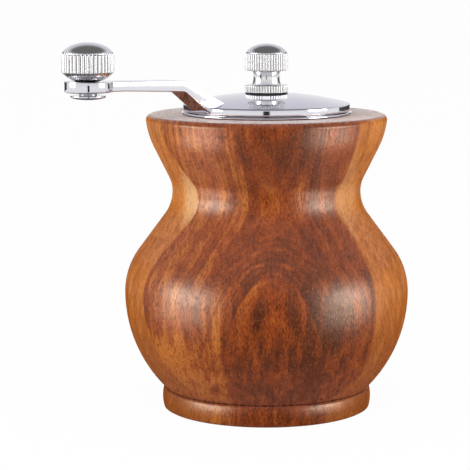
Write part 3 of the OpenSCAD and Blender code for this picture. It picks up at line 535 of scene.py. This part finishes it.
# %% Helpers for node trees
def colour(red, green, blue):
    """A picture colour from 0 to 255 turned into the linear light that nodes work in."""
    c = np.array([red, green, blue]) / 255
    linear = np.where(c <= 0.04045, c / 12.92, ((c + 0.055) / 1.055) ** 2.4)
    return (*linear.tolist(), 1.0)


def is_socket(value):
    """True for a node's output, and False for a plain number or colour."""
    return isinstance(value, bpy.types.NodeSocket)


def feed(node, inputs):
    """Links a node's inputs to outputs or sets them to values, by their names or numbers."""
    for key, value in inputs.items():
        if is_socket(value):
            node.id_data.links.new(value, node.inputs[key])
        else:
            node.inputs[key].default_value = value


def add(kind, inputs=(), output=0, tree=None, **settings):
    """Adds a shader node to the tree of what feeds it, or to a given tree. Sets its settings, feeds
    its inputs, and gives one of its outputs."""
    inputs = dict(inputs)
    tree = tree or next(filter(is_socket, inputs.values())).id_data
    node = tree.nodes.new("ShaderNode" + kind)
    for key, value in settings.items():
        setattr(node, key, value)
    feed(node, inputs)
    return node.outputs[output]


def apart(vector):
    """The three numbers of a vector."""
    return add("SeparateXYZ", {0: vector}).node.outputs


def new_group(name, inputs, outputs):
    """An empty node group with named sockets: (tree, its inputs' sockets, its output node)."""
    tree = bpy.data.node_groups.new(name, "ShaderNodeTree")
    for title, kind in inputs:
        tree.interface.new_socket(name=title, in_out="INPUT", socket_type=kind)
    for title, kind in outputs:
        tree.interface.new_socket(name=title, in_out="OUTPUT", socket_type=kind)
    start = tree.nodes.new("NodeGroupInput")
    end = tree.nodes.new("NodeGroupOutput")
    return tree, start.outputs, end


def place_group(group, inputs):
    """Places a node group in a material and gives its outputs by name."""
    return add("Group", inputs, node_tree=group).node.outputs


FLOAT, TINT, VECTOR = "NodeSocketFloat", "NodeSocketColor", "NodeSocketVector"

# %% [markdown]
# Patterns are sums too: values are added, multiplied, softly cut off and used to mix colours. Noise
# gives the unevenness that every natural or hand-finished surface has.

# %% Helpers for patterns
def calc(operation, a, b=0.0, c=0.0):
    """One step of arithmetic, such as ADD or SQRT."""
    return add("Math", {0: a, 1: b, 2: c}, operation=operation)


def product(total, *others):
    """All the values multiplied."""
    for other in others:
        total = calc("MULTIPLY", total, other)
    return total


def summed(total, *parts):
    """A value plus the sum of value * weight over the parts."""
    for value, weight in parts:
        total = calc("MULTIPLY_ADD", value, weight, total)
    return total


def smooth(value, low, high, start=0.0, end=1.0):
    """Maps low..high to start..end with soft ends."""
    return add("MapRange",
               {"Value": value, "From Min": low, "From Max": high, "To Min": start, "To Max": end},
               interpolation_type="SMOOTHSTEP")


def blend(factor, a, b):
    """Mixes two colours by a factor."""
    return add("Mix", {0: factor, 6: a, 7: b}, output=2, data_type="RGBA")


def noise(place, squeeze, scale, detail=2.0, roughness=0.5):
    """Soft random values from 0 to 1, drawn out along each axis whose squeeze is under 1."""
    at = add("VectorMath", {0: place, 1: squeeze}, operation="MULTIPLY")
    return add("TexNoise", {"Vector": at, "Scale": scale, "Detail": detail, "Roughness": roughness})

# %% [markdown]
# ## The wood
# The pattern is solid, as in a real block: it is worked out at each point in space, and the curved
# surface cuts through it. A flat pattern wrapped round the mill would show a seam and stretch at
# the waist. The coordinates are turned with the block: the depth points out of its front board,
# another runs across it, and the height runs along the grain.

# %% Wood: the block's own coordinates
BlockPlace = namedtuple("BlockPlace", "turned across depth height")


def block_place(vector):
    """Object coordinates in mm, turned about z: all three, across, depth to the front, height."""
    scaled = add("VectorMath", {0: vector, 3: 1 / MM}, operation="SCALE")
    turned = add("VectorRotate", {"Vector": scaled, "Angle": TURN}, rotation_type="Z_AXIS")
    x, y, z = apart(turned)
    return BlockPlace(turned, x, product(y, -1.0), z)

# %% [markdown]
# Growth layers lie nearly flat to the front board and lean a little, so the round bulb cuts them
# into nested arches. Layers differ in width from year to year, so the light and dark bands come
# from noise along the layer number. A sine wave would give even stripes, which look printed.

# %% Wood: growth layers
LEAN, LEAN_TOP, CUP, PITH_S, PITH_R, PHASE = 0.85, 72.0, 2.0, 2.5, 8.0, 10.5
SLOW_BEND, FINE_BEND = 9.0, 2.0


def growth(place):
    """Layer number = depth - lean * min(z, top) - cup * sqrt(s^2 + r^2) + phase, bent by noise."""
    slow = noise(place.turned, (1, 1, 0.3), scale=0.05)
    fine = noise(place.turned, (1, 1, 0.15), scale=0.25, detail=3)
    low = calc("SMOOTH_MIN", place.height, LEAN_TOP, 20.0)
    off = calc("SUBTRACT", place.across, PITH_S)
    cupped = calc("SQRT", summed(PITH_R ** 2, (off, off)))
    bends = (slow, SLOW_BEND), (fine, FINE_BEND), (low, -LEAN), (cupped, -CUP)
    return calc("ADD", summed(place.depth, *bends), PHASE)


def bands(layer, scale):
    """Uneven bands from 0 to 1: noise along one line, such as the layer number."""
    look = {"W": layer, "Scale": scale, "Detail": 2, "Roughness": 0.6}
    return add("TexNoise", look, noise_dimensions="1D")

# %% [markdown]
# The block is glued up from boards before it is turned: dark heart wood at the front and the back,
# and lighter sapwood between them. The bulb bows out and the waist cuts back, so the straight glue
# lines show as curves. The left one is crisp, and the right one follows the heart's softer edge.

# %% Wood: boards and glue lines
LINE_DEPTH, LINE_LEAN, RIGHT_LINE, BACK_LINE = 31.5, -0.095, -3.3, -20.0
WAVER, CRISP, SOFT = 3.0, 0.35, 1.4


def boards(place):
    """(front, heart): 1 in the front board, and 1 in both boards of heart wood. In the front one
    the depth is over the smooth maximum of two lines, lean * z + depth and s + offset."""
    wobble = noise(place.turned, (1, 1, 0.3), scale=0.05)
    edge = summed(calc("SUBTRACT", place.depth, WAVER / 2), (wobble, WAVER))
    soften = smooth(place.across, -5.0, 10.0, CRISP, SOFT)
    left_line = summed(LINE_DEPTH, (place.height, LINE_LEAN))
    right_line = calc("ADD", place.across, RIGHT_LINE)
    behind = calc("SMOOTH_MAX", left_line, right_line, 2.0)
    front = smooth(calc("DIVIDE", calc("SUBTRACT", edge, behind), soften), -1.0, 1.0)
    back = smooth(edge, BACK_LINE, BACK_LINE - 1.0)
    return front, calc("MAXIMUM", front, back)

# %% [markdown]
# Heart wood changes from place to place. Its tone is one sum: the growth bands, which are fainter
# low down, streaks along the grain, broad patches, a golden part low on the left that is partly
# painted light from the left lamp, a dark streak of gum on the right, and arcs round a small knot.
# The sum picks a colour between three browns.

# %% Wood: heart
HEART_DARK = colour(74, 28, 4)
HEART_MID = colour(130, 54, 5)
HEART_LIGHT = colour(178, 101, 32)
BROAD_BANDS, THIN_BANDS, ARC_BANDS = 0.09, 0.26, 0.5
BROAD_TONE, THIN_TONE, PATCH_TONE, ARC_TONE, GOLDEN_LIT_TONE, GUM_TONE = 0.6, 0.45, 0.45, 1.15, 0.2, -0.13
RINGED_Z, STREAKY_Z, SHALLOW, LEFT_PALER = (25.0, 55.0), (40.0, 70.0), (41.0, 33.0), (20.0, -30.0)
# The golden part low on the left is partly painted light from the left lamp.
GOLDEN_LIT_S, GOLDEN_LIT_Z, GUM_S = (-6.0, -24.0), (40.0, 24.0), (11.0, 15.0, 16.0, 20.0)
KNOT_S, KNOT_Z, KNOT_R = 1.9, 59.3, 2.2
ARCS_Z, ARCS_R, ARCS_FROM, ARC_WAVER = 45.0, (27.0, 19.0), (50.0, 57.0), 3.0


def from_point(place, height, squeeze=1.0):
    """Distance from a point over the knot's middle line, sqrt((squeeze * s)^2 + z^2)."""
    s = product(calc("SUBTRACT", place.across, KNOT_S), squeeze)
    z = calc("SUBTRACT", place.height, height)
    return calc("SQRT", summed(product(z, z), (s, s)))


def strip(value, start, full, full_end, end):
    """1 between full and full_end, falling softly to 0 at start and end."""
    return product(smooth(value, start, full), smooth(value, end, full_end))


def arcs_round_knot(place, patch):
    """Uneven bands of the distance from a point under the knot, from -0.5 to 0.5, fading out."""
    away = summed(from_point(place, ARCS_Z), (patch, ARC_WAVER))
    arcs = calc("SUBTRACT", bands(away, ARC_BANDS), 0.5)
    return product(arcs, smooth(away, *ARCS_R), smooth(place.height, *ARCS_FROM))


def tone_of_place(place):
    """What the place alone adds: paler to the left, golden low on the left, which is partly painted
    light from the left lamp, gum, and paler where the waist cuts deeper into the board."""
    # Golden tone low on the left: partly painted light where the left lamp falls.
    golden_and_lit = product(smooth(place.across, *GOLDEN_LIT_S), smooth(place.height, *GOLDEN_LIT_Z))
    paler = smooth(place.across, *LEFT_PALER, -0.1, 0.06)
    tone = summed(paler, (golden_and_lit, GOLDEN_LIT_TONE), (strip(place.across, *GUM_S), GUM_TONE))
    return calc("ADD", tone, smooth(place.depth, *SHALLOW, 0.0, 0.12))


def heart_wood(place, layer, thin, streak):
    """The heart's colour, from dark through middle to light by the sum of its tones."""
    patch = noise(place.turned, (1, 1, 0.12), scale=0.17, roughness=0.6)
    rings = summed(-0.52, (bands(layer, BROAD_BANDS), BROAD_TONE), (thin, THIN_TONE))
    rings = product(rings, smooth(place.height, *RINGED_Z, 0.3, 1.1))
    streaky = smooth(place.height, *STREAKY_Z, 1.15, 0.5)
    streaks = product(calc("SUBTRACT", streak, 0.5), streaky)
    tone = summed(rings, (tone_of_place(place), 1.0), (streaks, 1.0), (patch, PATCH_TONE),
                  (arcs_round_knot(place, patch), ARC_TONE))
    tone = smooth(tone, -0.08, 0.72)
    dark = blend(smooth(tone, 0.0, 0.5), HEART_DARK, HEART_MID)
    return blend(smooth(tone, 0.45, 1.0), dark, HEART_LIGHT)

# %% [markdown]
# The sapwood is orange with thin bands and streaks. It is palest next to the glue lines at the
# waist, where the hollow cuts into wood that lies deep in the board.

# %% Wood: sapwood
SAP_DARK = colour(146, 76, 20)
SAP_LIGHT = colour(192, 116, 42)
SAP_PALE = colour(208, 160, 106)
LEFT_PALE, LEFT_PALE_Q = (-31.0, -27.0, -25.0, -22.0), (15.5, 20.0)
RIGHT_PALE, RIGHT_PALE_Q = (23.0, 26.0, 29.0, 33.0), (9.0, 14.0)
PALE_Z = (48.0, 64.0)


def pale_strips(place):
    """1 in the pale strip left of the front board and 0.4 in the right one, over some height."""
    left = product(smooth(place.depth, *LEFT_PALE_Q), strip(place.across, *LEFT_PALE))
    right = product(smooth(place.depth, *RIGHT_PALE_Q, 0.0, 0.4), strip(place.across, *RIGHT_PALE))
    return product(calc("MAXIMUM", left, right), smooth(place.height, *PALE_Z))


def marked(wood, amount, strength, tint):
    """The wood mixed towards a tint by amount * strength."""
    return blend(product(amount, strength), wood, tint)


def sapwood(place, thin, streak):
    """The sapwood's colour: between two oranges by streaks and thin bands, then paler in places."""
    higher = smooth(place.height, 20.0, 70.0, -0.16, 0.08)
    tone = summed(higher, (streak, 0.9), (thin, 0.35))
    sap = blend(smooth(tone, 0.4, 0.85), SAP_DARK, SAP_LIGHT)
    return marked(sap, pale_strips(place), 0.85, SAP_PALE)

# %% [markdown]
# Last come the small marks. The knot is dark, where a twig once grew. Flecks are short light dashes.
# Pores are hair-thin tubes along the grain: on the side they look like short dashes, and on the end
# grain like dots. They take up lacquer, so they are dark and less glossy.

# %% Wood: knot, flecks and pores
PORE = colour(46, 17, 3)
END_TINT = colour(156, 96, 78)
FLECKS, FLECK_RANGE, KNOT_SQUEEZE = 0.24, (0.66, 0.52), 0.45


def dashes(place, scale, length, low, high):
    """Thin dashes: noise drawn out along the grain, of which only one end of the range shows."""
    return smooth(noise(place.turned, (1, 1, 1 / length), scale, roughness=0.7), high, low)


def knot(place):
    """Rises to 0.75 in the middle of the knot, which is broader than it is high."""
    return smooth(from_point(place, KNOT_Z, KNOT_SQUEEZE), KNOT_R, 0.3, 0.0, 0.75)


def pores(place):
    """1 in the pores: the larger of long fine dashes and short broad ones."""
    fine = dashes(place, scale=2.2, length=3.5, low=0.34, high=0.52)
    broad = dashes(place, scale=1.2, length=2.5, low=0.33, high=0.44)
    return calc("MAXIMUM", fine, broad)


def end_dots(place, end_grain_share):
    """1 in the cut tubes of the end grain, 0 on the side grain."""
    tubes = noise(place.turned, (1, 0.35, 0.2), scale=1.0, roughness=0.7)
    return product(smooth(tubes, 0.54, 0.42), end_grain_share)

# %% [markdown]
# All of this goes into one node group, so that the body and the foot share one block of wood and
# can't drift apart. The group gives the colour, and how rough, high and glossy each spot is.

# %% Wood: the whole pattern as one group
def make_wood():
    """Builds the group: place, end grain and deepen in; colour, roughness, height, gloss out."""
    tree, start, end = new_group(
        "turned_wood", [("Place", VECTOR), ("End Grain", FLOAT), ("Deepen", FLOAT)],
        [("Color", TINT), ("Roughness", FLOAT), ("Height", FLOAT), ("Gloss", FLOAT)])
    place = block_place(start["Place"])
    layer = growth(place)
    thin = bands(layer, THIN_BANDS)
    streak = noise(place.turned, (1, 1, 0.05), scale=0.3, detail=4, roughness=0.6)
    front, is_heart = boards(place)
    pore = pores(place)
    dots = end_dots(place, start["End Grain"])

    heart = heart_wood(place, layer, thin, streak)
    wood = blend(is_heart, sapwood(place, thin, streak), heart)
    wood = marked(wood, knot(place), front, PORE)
    wood = marked(wood, dashes(place, 1.7, 2.2, *FLECK_RANGE), FLECKS, HEART_LIGHT)
    wood = marked(wood, pore, summed(0.3, (is_heart, 0.3)), PORE)
    wood = marked(wood, start["End Grain"], 0.72, END_TINT)
    wood = marked(wood, dots, 0.55, PORE)

    feed(end, {
        "Color": blend(start["Deepen"], wood, HEART_DARK),
        "Roughness": summed(0.3, (pore, 0.1), (streak, 0.08)),
        "Height": summed(product(pore, -1.0), (streak, 0.3)),
        "Gloss": summed(1.0, (dots, -0.85), (pore, -0.4)),
    })
    return tree


wood_group = make_wood()
print("wood group with", len(wood_group.nodes), "nodes")

# %% [markdown]
# The wood has a thin satin lacquer. The wood itself is matt here, and the lacquer is the shader's
# coat: one smooth layer over the grain, so that the highlights stay soft and broad. Real lacquer is
# never quite flat and glares less at a low angle than the shader's coat does, so the coat gets
# weaker where the surface turns away. The Layer Weight node gives that angle.

# %% Wood: the lacquer
LACQUER_ROUGHNESS, LACQUER_IOR = 0.36, 1.3
TURNING_AWAY, EDGE_COAT, END_COAT = (0.5, 0.9), 0.27, 0.55


def new_material(name):
    """A material with nodes: (material, its tree, its Principled shader)."""
    material = bpy.data.materials.new(name)
    material.use_nodes = True
    return material, material.node_tree, material.node_tree.nodes["Principled BSDF"]


def object_place(tree):
    """Object coordinates, in metres from the mill's own zero point."""
    return add("TexCoord", output="Object", tree=tree)


def bumpy(height, strength, distance):
    """A normal that tilts by the slope of a height, where a height of 1 is a distance in mm."""
    return add("Bump", {"Height": height, "Strength": strength, "Distance": distance * MM})


def wood_material(name, deepen=0.0, sheen=0.0):
    """Satin-lacquered wood: the pattern gives the colour, and a coat that fades where the wood is
    seen edge-on gives the gloss. Deepen darkens the whole piece, and sheen adds a pale bloom."""
    material, tree, shader = new_material(name)
    grain = add("Attribute", output="Fac", tree=tree, attribute_name="end_grain")
    made = place_group(wood_group, {"Place": object_place(tree), "End Grain": grain, "Deepen": deepen})
    facing = add("LayerWeight", {"Blend": 0.5}, output="Facing", tree=tree)
    fade = smooth(facing, *TURNING_AWAY, 1.0, EDGE_COAT)
    fade = calc("MAXIMUM", fade, product(grain, END_COAT))
    feed(shader, {
        "Base Color": made["Color"], "Roughness": made["Roughness"], "Specular IOR Level": 0.0,
        "Coat Weight": product(made["Gloss"], fade), "Coat Roughness": LACQUER_ROUGHNESS,
        "Coat IOR": LACQUER_IOR, "Sheen Weight": sheen, "Sheen Roughness": 0.3,
        "Normal": bumpy(made["Height"], 0.35, 0.12),
    })
    return material


body.data.materials.append(wood_material("lacquered_wood"))
foot.data.materials.append(wood_material("lacquered_foot_wood", deepen=0.2))
print("lacquered the body and the foot")

# %% [markdown]
# The flat top is end grain, which drinks more lacquer and is sanded to a haze. A sheen brightens a
# surface that is seen at a low angle, and gives it that pale bloom. It is a second material on the
# faces of the top, because a shader's sheen is the same all over one material.

# %% Wood: the end grain on top
def finish_end_grain(piece, material, above):
    """Gives a second material to faces over a height whose corners average over half end grain."""
    mesh = piece.data
    mesh.materials.append(material)
    cut = numbers(mesh.attributes["end_grain"].data, "value")
    cut *= numbers(mesh.vertices, "co", 3)[2::3] > above
    corner = numbers(mesh.loops, "vertex_index").astype(int)
    first = numbers(mesh.polygons, "loop_start").astype(int)
    count = np.diff(np.append(first, len(corner)))
    is_end = np.add.reduceat(cut[corner], first) / count > 0.5
    mesh.polygons.foreach_set("material_index", is_end.astype(np.int32))
    print(piece.name, "has", int(is_end.sum()), "faces of end grain")


finish_end_grain(body, wood_material("lacquered_end_grain", sheen=0.85), above=60 * MM)

# %% [markdown]
# ## The metals
# Chrome plate is almost a mirror: its looks come from what it reflects, and only a faint haze and
# a few wipe marks separate it from a perfect one. The steel, bronze and iron inside are duller, and
# each has its own grain. One group gives them all their unevenness, each at a scale of its own.

# %% Metal: a shared unevenness
FINER = 9.0


def make_uneven():
    """Place, scale and stretch in; tone, haze and height out. The haze is the mean of a broad noise
    and a finer one."""
    tree, start, end = new_group(
        "uneven_metal", [("Place", VECTOR), ("Scale", FLOAT), ("Stretch", VECTOR)],
        [("Tone", FLOAT), ("Haze", FLOAT), ("Height", FLOAT)])
    at = add("VectorMath", {0: start["Place"], 1: start["Stretch"]}, operation="MULTIPLY")
    broad = add("TexNoise", {"Vector": at, "Scale": start["Scale"], "Detail": 2.0})
    finer = product(start["Scale"], FINER)
    small = add("TexNoise", {"Vector": at, "Scale": finer, "Detail": 4.0, "Roughness": 0.65})
    haze = summed(product(broad, 0.5), (small, 0.5))
    feed(end, {"Tone": broad, "Haze": haze, "Height": small})
    return tree


uneven_group = make_uneven()


def uneven_material(name, dark, light, rough, haze, scale, bump, stretch=(1.0, 1.0, 1.0),
                    strength=0.4, groove=0.0):
    """A material between two tints, with roughness = rough + haze * the group's haze and a bump in
    mm: (material, its shader). A groove shade above 0 paints shade into the flutes by that share."""
    material, tree, shader = new_material(name)
    place = object_place(tree)
    made = place_group(uneven_group, {"Place": place, "Scale": scale, "Stretch": stretch})
    tint = blend(made["Tone"], colour(*dark), colour(*light))
    if groove:
        # Painted shade: the bottoms of the flutes are darkened towards a grey-brown.
        groove_shade_mask = add("Attribute", output="Fac", tree=tree, attribute_name="groove")
        tint = marked(tint, groove_shade_mask, groove, colour(58, 52, 48))
    feed(shader, {"Base Color": tint, "Roughness": summed(rough, (made["Haze"], haze)),
                  "Normal": bumpy(made["Height"], strength, bump)})
    return material, shader


print("uneven group with", len(uneven_group.nodes), "nodes")

# %% [markdown]
# The flutes of the knob and the finial can't be polished like a dome, so these two have a rougher
# chrome, with painted shade darkening the bottoms of their flutes. Ground steel has its marks running
# round the shaft. Cast iron is the darkest and dullest.

# %% Metal: the six metals
def metal_material(*looks, **more_looks):
    """An uneven material that is metal all through."""
    material, shader = uneven_material(*looks, **more_looks)
    feed(shader, {"Metallic": 1.0})
    print("metal:", material.name)
    return material


chrome = metal_material("polished_chrome", (222, 221, 228), (236, 235, 240),
                        rough=0.05, haze=0.06, scale=60.0, bump=1e-4)
# Its flutes get painted shade along their bottoms.
fluted_chrome = metal_material("fluted_chrome", (232, 230, 230), (244, 243, 243),
                               rough=0.16, haze=0.06, scale=60.0, bump=1e-4, groove=0.85)
steel = metal_material("ground_steel", (170, 170, 174), (196, 196, 200),
                       rough=0.22, haze=0.2, scale=90.0, bump=0.01, stretch=(1.0, 1.0, 6.0))
bronze = metal_material("bearing_bronze", (176, 128, 66), (206, 160, 92),
                        rough=0.3, haze=0.2, scale=160.0, bump=0.01)
iron = metal_material("cast_iron", (72, 72, 74), (104, 104, 106),
                      rough=0.42, haze=0.25, scale=220.0, bump=0.05)
burr_iron = metal_material("hardened_burr", (98, 98, 102), (140, 140, 146),
                           rough=0.26, haze=0.25, scale=180.0, bump=0.02)

# %% [markdown]
# The cup's ring and the finial's washer are black rubber: dark grey, dull, with a fine moulded
# grain. The same unevenness does for it, only that it isn't metal.

# %% Rubber
rubber = uneven_material("black_rubber", (22, 22, 23), (40, 40, 41), rough=0.5, haze=0.2,
                         scale=120.0, bump=0.02, strength=0.3)[0]
print("rubber:", rubber.name)

# %% [markdown]
# The plated surfaces get their chrome. The inner pieces keep the shape they have in the
# construction model and only get a material, because a closed mill hides them.

# %% Dress the pieces
for piece in (collar, lid, arm, bolt):
    piece.data.materials.append(chrome)
for piece in (knob, finial):
    piece.data.materials.append(fluted_chrome)

DRESS = {
    "cup_seal": rubber, "finial_washer": rubber,
    "shaft_bridge": steel, "bridge_screws": steel, "housing_screws": steel, "drive_shaft": steel,
    "shaft_clip": steel, "spring_washer": steel, "burr_spring": steel, "detent_washer": steel,
    "bolt_washer": steel, "knob_clip": steel,
    "upper_bushing": bronze, "lower_bushing": bronze, "adjusting_nut": bronze,
    "burr_housing": iron, "outer_burr": burr_iron, "inner_burr": burr_iron,
}
for name, finish in DRESS.items():
    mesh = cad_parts[name].data
    mesh.materials.clear()
    mesh.materials.append(finish)
print("dressed", len(DRESS), "inner pieces")

# %% [markdown]
# ## The studio
# The mill stands on a wide pale floor that the camera sees as nearly white, with a faint shadow.
# The Light Path node tells who is looking, so this white lights nothing. Mirrors see the floor as
# dim near the mill and bright further out, which gives the chrome its contrast.

# %% Floor
FLOOR, UNDER_FOOT, SEEN_WHITE = 12.0, -0.2 * MM, 0.97
DIM_WITHIN, BRIGHT_FROM = 0.2, 0.6


def grey(level):
    """A colour without tint."""
    return (level, level, level, 1)


def flat_board(name, width, height, z=0.0):
    """A level rectangle about the origin, from its width and height."""
    w, h = width / 2, height / 2
    mesh = bpy.data.meshes.new(name)
    mesh.from_pydata([(-w, -h, z), (w, -h, z), (w, h, z), (-w, h, z)], [], [(0, 1, 2, 3)])
    board = bpy.data.objects.new(name, mesh)
    bpy.context.collection.objects.link(board)
    return board


def light_path(tree):
    """The outputs of a Light Path node, which tell who is looking."""
    return add("LightPath", tree=tree).node.outputs


def looked_at(path):
    """1 for what the camera sees straight or through something clear, and 0 otherwise."""
    return calc("MAXIMUM", path["Is Camera Ray"], path["Is Transmission Ray"])


def show_white(tree, shader, share):
    """Mixes plain white into a shader for the camera, and leaves its light on the mill alone."""
    white = add("Emission", {"Color": grey(1), "Strength": 1.0}, tree=tree)
    share = product(looked_at(light_path(tree)), share)
    return add("MixShader", {0: share, 1: shader, 2: white})


def seen_in_mirrors(tree, shader):
    """What mirrors see of the floor: dim near the mill and almost white further out."""
    away = add("VectorMath", {0: object_place(tree)}, output=1, operation="LENGTH")
    bright = smooth(away, DIM_WITHIN, BRIGHT_FROM, 0.1, 0.92)
    look = add("Emission", {"Color": grey(1), "Strength": bright})
    return add("MixShader", {0: light_path(tree)["Is Glossy Ray"], 1: shader, 2: look})


floor = flat_board("floor", 2 * FLOOR, 2 * FLOOR, UNDER_FOOT)
pale, tree, shader = new_material("pale_floor")
feed(shader, {"Base Color": grey(0.9), "Roughness": 0.9})
surface = seen_in_mirrors(tree, show_white(tree, shader.outputs[0], SEEN_WHITE))
feed(tree.nodes["Material Output"], {"Surface": surface})
floor.data.materials.append(pale)
print("floor", 2 * FLOOR, "m wide")

# %% [markdown]
# The sky lights the mill evenly, and the camera sees it as white. Chrome needs something dark to
# mirror, or it looks like white plastic, so mirrors see a sky that is pale at the horizon, cool and
# greyer higher up, and dark overhead, as a studio's ceiling is.

# %% Sky
SKY_LIGHT, CEILING = 0.52, 0.14
HORIZON, UPPER_SKY = (0.86, 0.86, 0.88, 1), (0.66, 0.65, 0.72, 1)
UPPER_AT, CEILING_AT = 0.55, 0.78

world = bpy.data.worlds.new("sky")
world.use_nodes = True
bpy.context.scene.world = world
tree = world.node_tree
path = light_path(tree)
rise = apart(add("TexCoord", output="Generated", tree=tree))[2]
sky = blend(smooth(rise, 0.0, UPPER_AT), HORIZON, UPPER_SKY)
sky = blend(smooth(rise, UPPER_AT, CEILING_AT), sky, grey(CEILING))
mirrored = blend(path["Is Glossy Ray"], grey(SKY_LIGHT), sky)
feed(tree.nodes["Background"], {"Color": blend(looked_at(path), mirrored, grey(1))})
print("sky with", len(tree.nodes), "nodes")

# %% [markdown]
# Three soft lights do the lighting, at the left, at the right and over the front. Reflections leave
# them out and show other lamps: the sheens give the lacquer its highlights, with low ones just over
# the floor for the underside of the bulb, and the glints are for the chrome. Light linking tells
# each its pieces, as a photographer hides a lamp from one thing with a flag.

# %% Lamps
LAMP_TARGET, WARM, STRAIGHT_UP = (0, 0, 0.06), (1.0, 0.97, 0.8), (math.pi, 0, 0)


def aimed(place, target):
    """Turns an object's -Z axis from its place to a target."""
    return (Vector(target) - Vector(place)).to_track_quat("-Z", "Y").to_euler()


def round_the_mill(angle, distance, height):
    """A place at an angle to the right of the camera's direction, seen from above."""
    a = math.radians(angle)
    flat = TOWARDS * math.cos(a) + SIDEWAYS * math.sin(a)
    return (flat[0] * distance, flat[1] * distance, height)


def soft_light(name, place, size, power, mirrored_by=None):
    """A rectangular light of (width, height). It lights surfaces, or, where it is mirrored by a
    group of pieces, only shows in their gloss."""
    data = bpy.data.lights.new(name, "AREA")
    data.shape = "RECTANGLE"
    data.size, data.size_y = size
    data.energy = power
    lamp = bpy.data.objects.new(name, data)
    lamp.location = place
    lamp.rotation_euler = aimed(place, LAMP_TARGET)
    lamp.visible_camera = False
    lamp.visible_diffuse = mirrored_by is None
    lamp.visible_glossy = mirrored_by is not None
    lamp.light_linking.receiver_collection = mirrored_by
    bpy.context.collection.objects.link(lamp)
    return lamp


def group_of(name, pieces):
    """A collection of pieces that a light is meant for."""
    collection = bpy.data.collections.new(name)
    for piece in pieces:
        collection.objects.link(piece)
    return collection


wooden = group_of("wooden_pieces", [body, foot])
plated = group_of("plated_pieces", [collar, lid, arm, bolt, knob, finial])
LAMPS = [
    ("left_light", (-62, 1.1, 0.3), (0.5, 0.7), 8, None),
    ("right_light", (66, 1.1, 0.3), (0.5, 0.7), 8, None),
    ("front_light", (0, 0.9, 1.0), (0.8, 0.3), 5, None),
    ("left_sheen", (-66, 1.1, 0.2), (0.8, 0.4), 31, wooden),
    ("right_sheen", (67, 1.1, 0.2), (0.7, 0.4), 28, wooden),
    ("left_low", (-62, 0.26, 0.002), (0.2, 0.16), 2.1, wooden),
    ("right_low", (64, 0.26, 0.002), (0.2, 0.16), 2.1, wooden),
    ("left_glint", (-76, 1.1, 0.32), (0.6, 0.5), 5, plated),
    ("right_glint", (74, 1.1, 0.32), (0.6, 0.5), 5, plated),
]
for name, place, size, power, mirrored_by in LAMPS:
    lamp = soft_light(name, round_the_mill(*place), size, power, mirrored_by)
    if mirrored_by is wooden:
        lamp.data.color = WARM
    if name.endswith("low"):
        lamp.rotation_euler = STRAIGHT_UP
print(len(LAMPS), "lamps")

# %% [markdown]
# Dark cards give the chrome its black lines. They are there for mirrors alone: one stands before the
# camera, and a flag stands on each side behind the mill.

# %% Dark cards
CARD_TARGET = (0, 0, 0.1)


def dark_card(name, place, size, shade):
    """A dark board that only mirror-like surfaces see."""
    card = flat_board(name, *size)
    card.location = place
    card.rotation_euler = aimed(place, CARD_TARGET)
    for rays in ("camera", "diffuse", "shadow", "transmission"):
        setattr(card, "visible_" + rays, False)
    black, tree, shader = new_material(name)
    feed(shader, {"Base Color": grey(shade), "Roughness": 1.0, "Specular IOR Level": 0.0})
    card.data.materials.append(black)
    return card


cards = [
    dark_card("camera_card", round_the_mill(0, 0.5, 0.07), (0.075, 0.16), 0.02),
    dark_card("left_flag", round_the_mill(-138, 1.0, 0.12), (0.8, 0.4), 0.06),
    dark_card("right_flag", round_the_mill(138, 1.0, 0.12), (0.8, 0.4), 0.06),
]
print(len(cards), "dark cards")
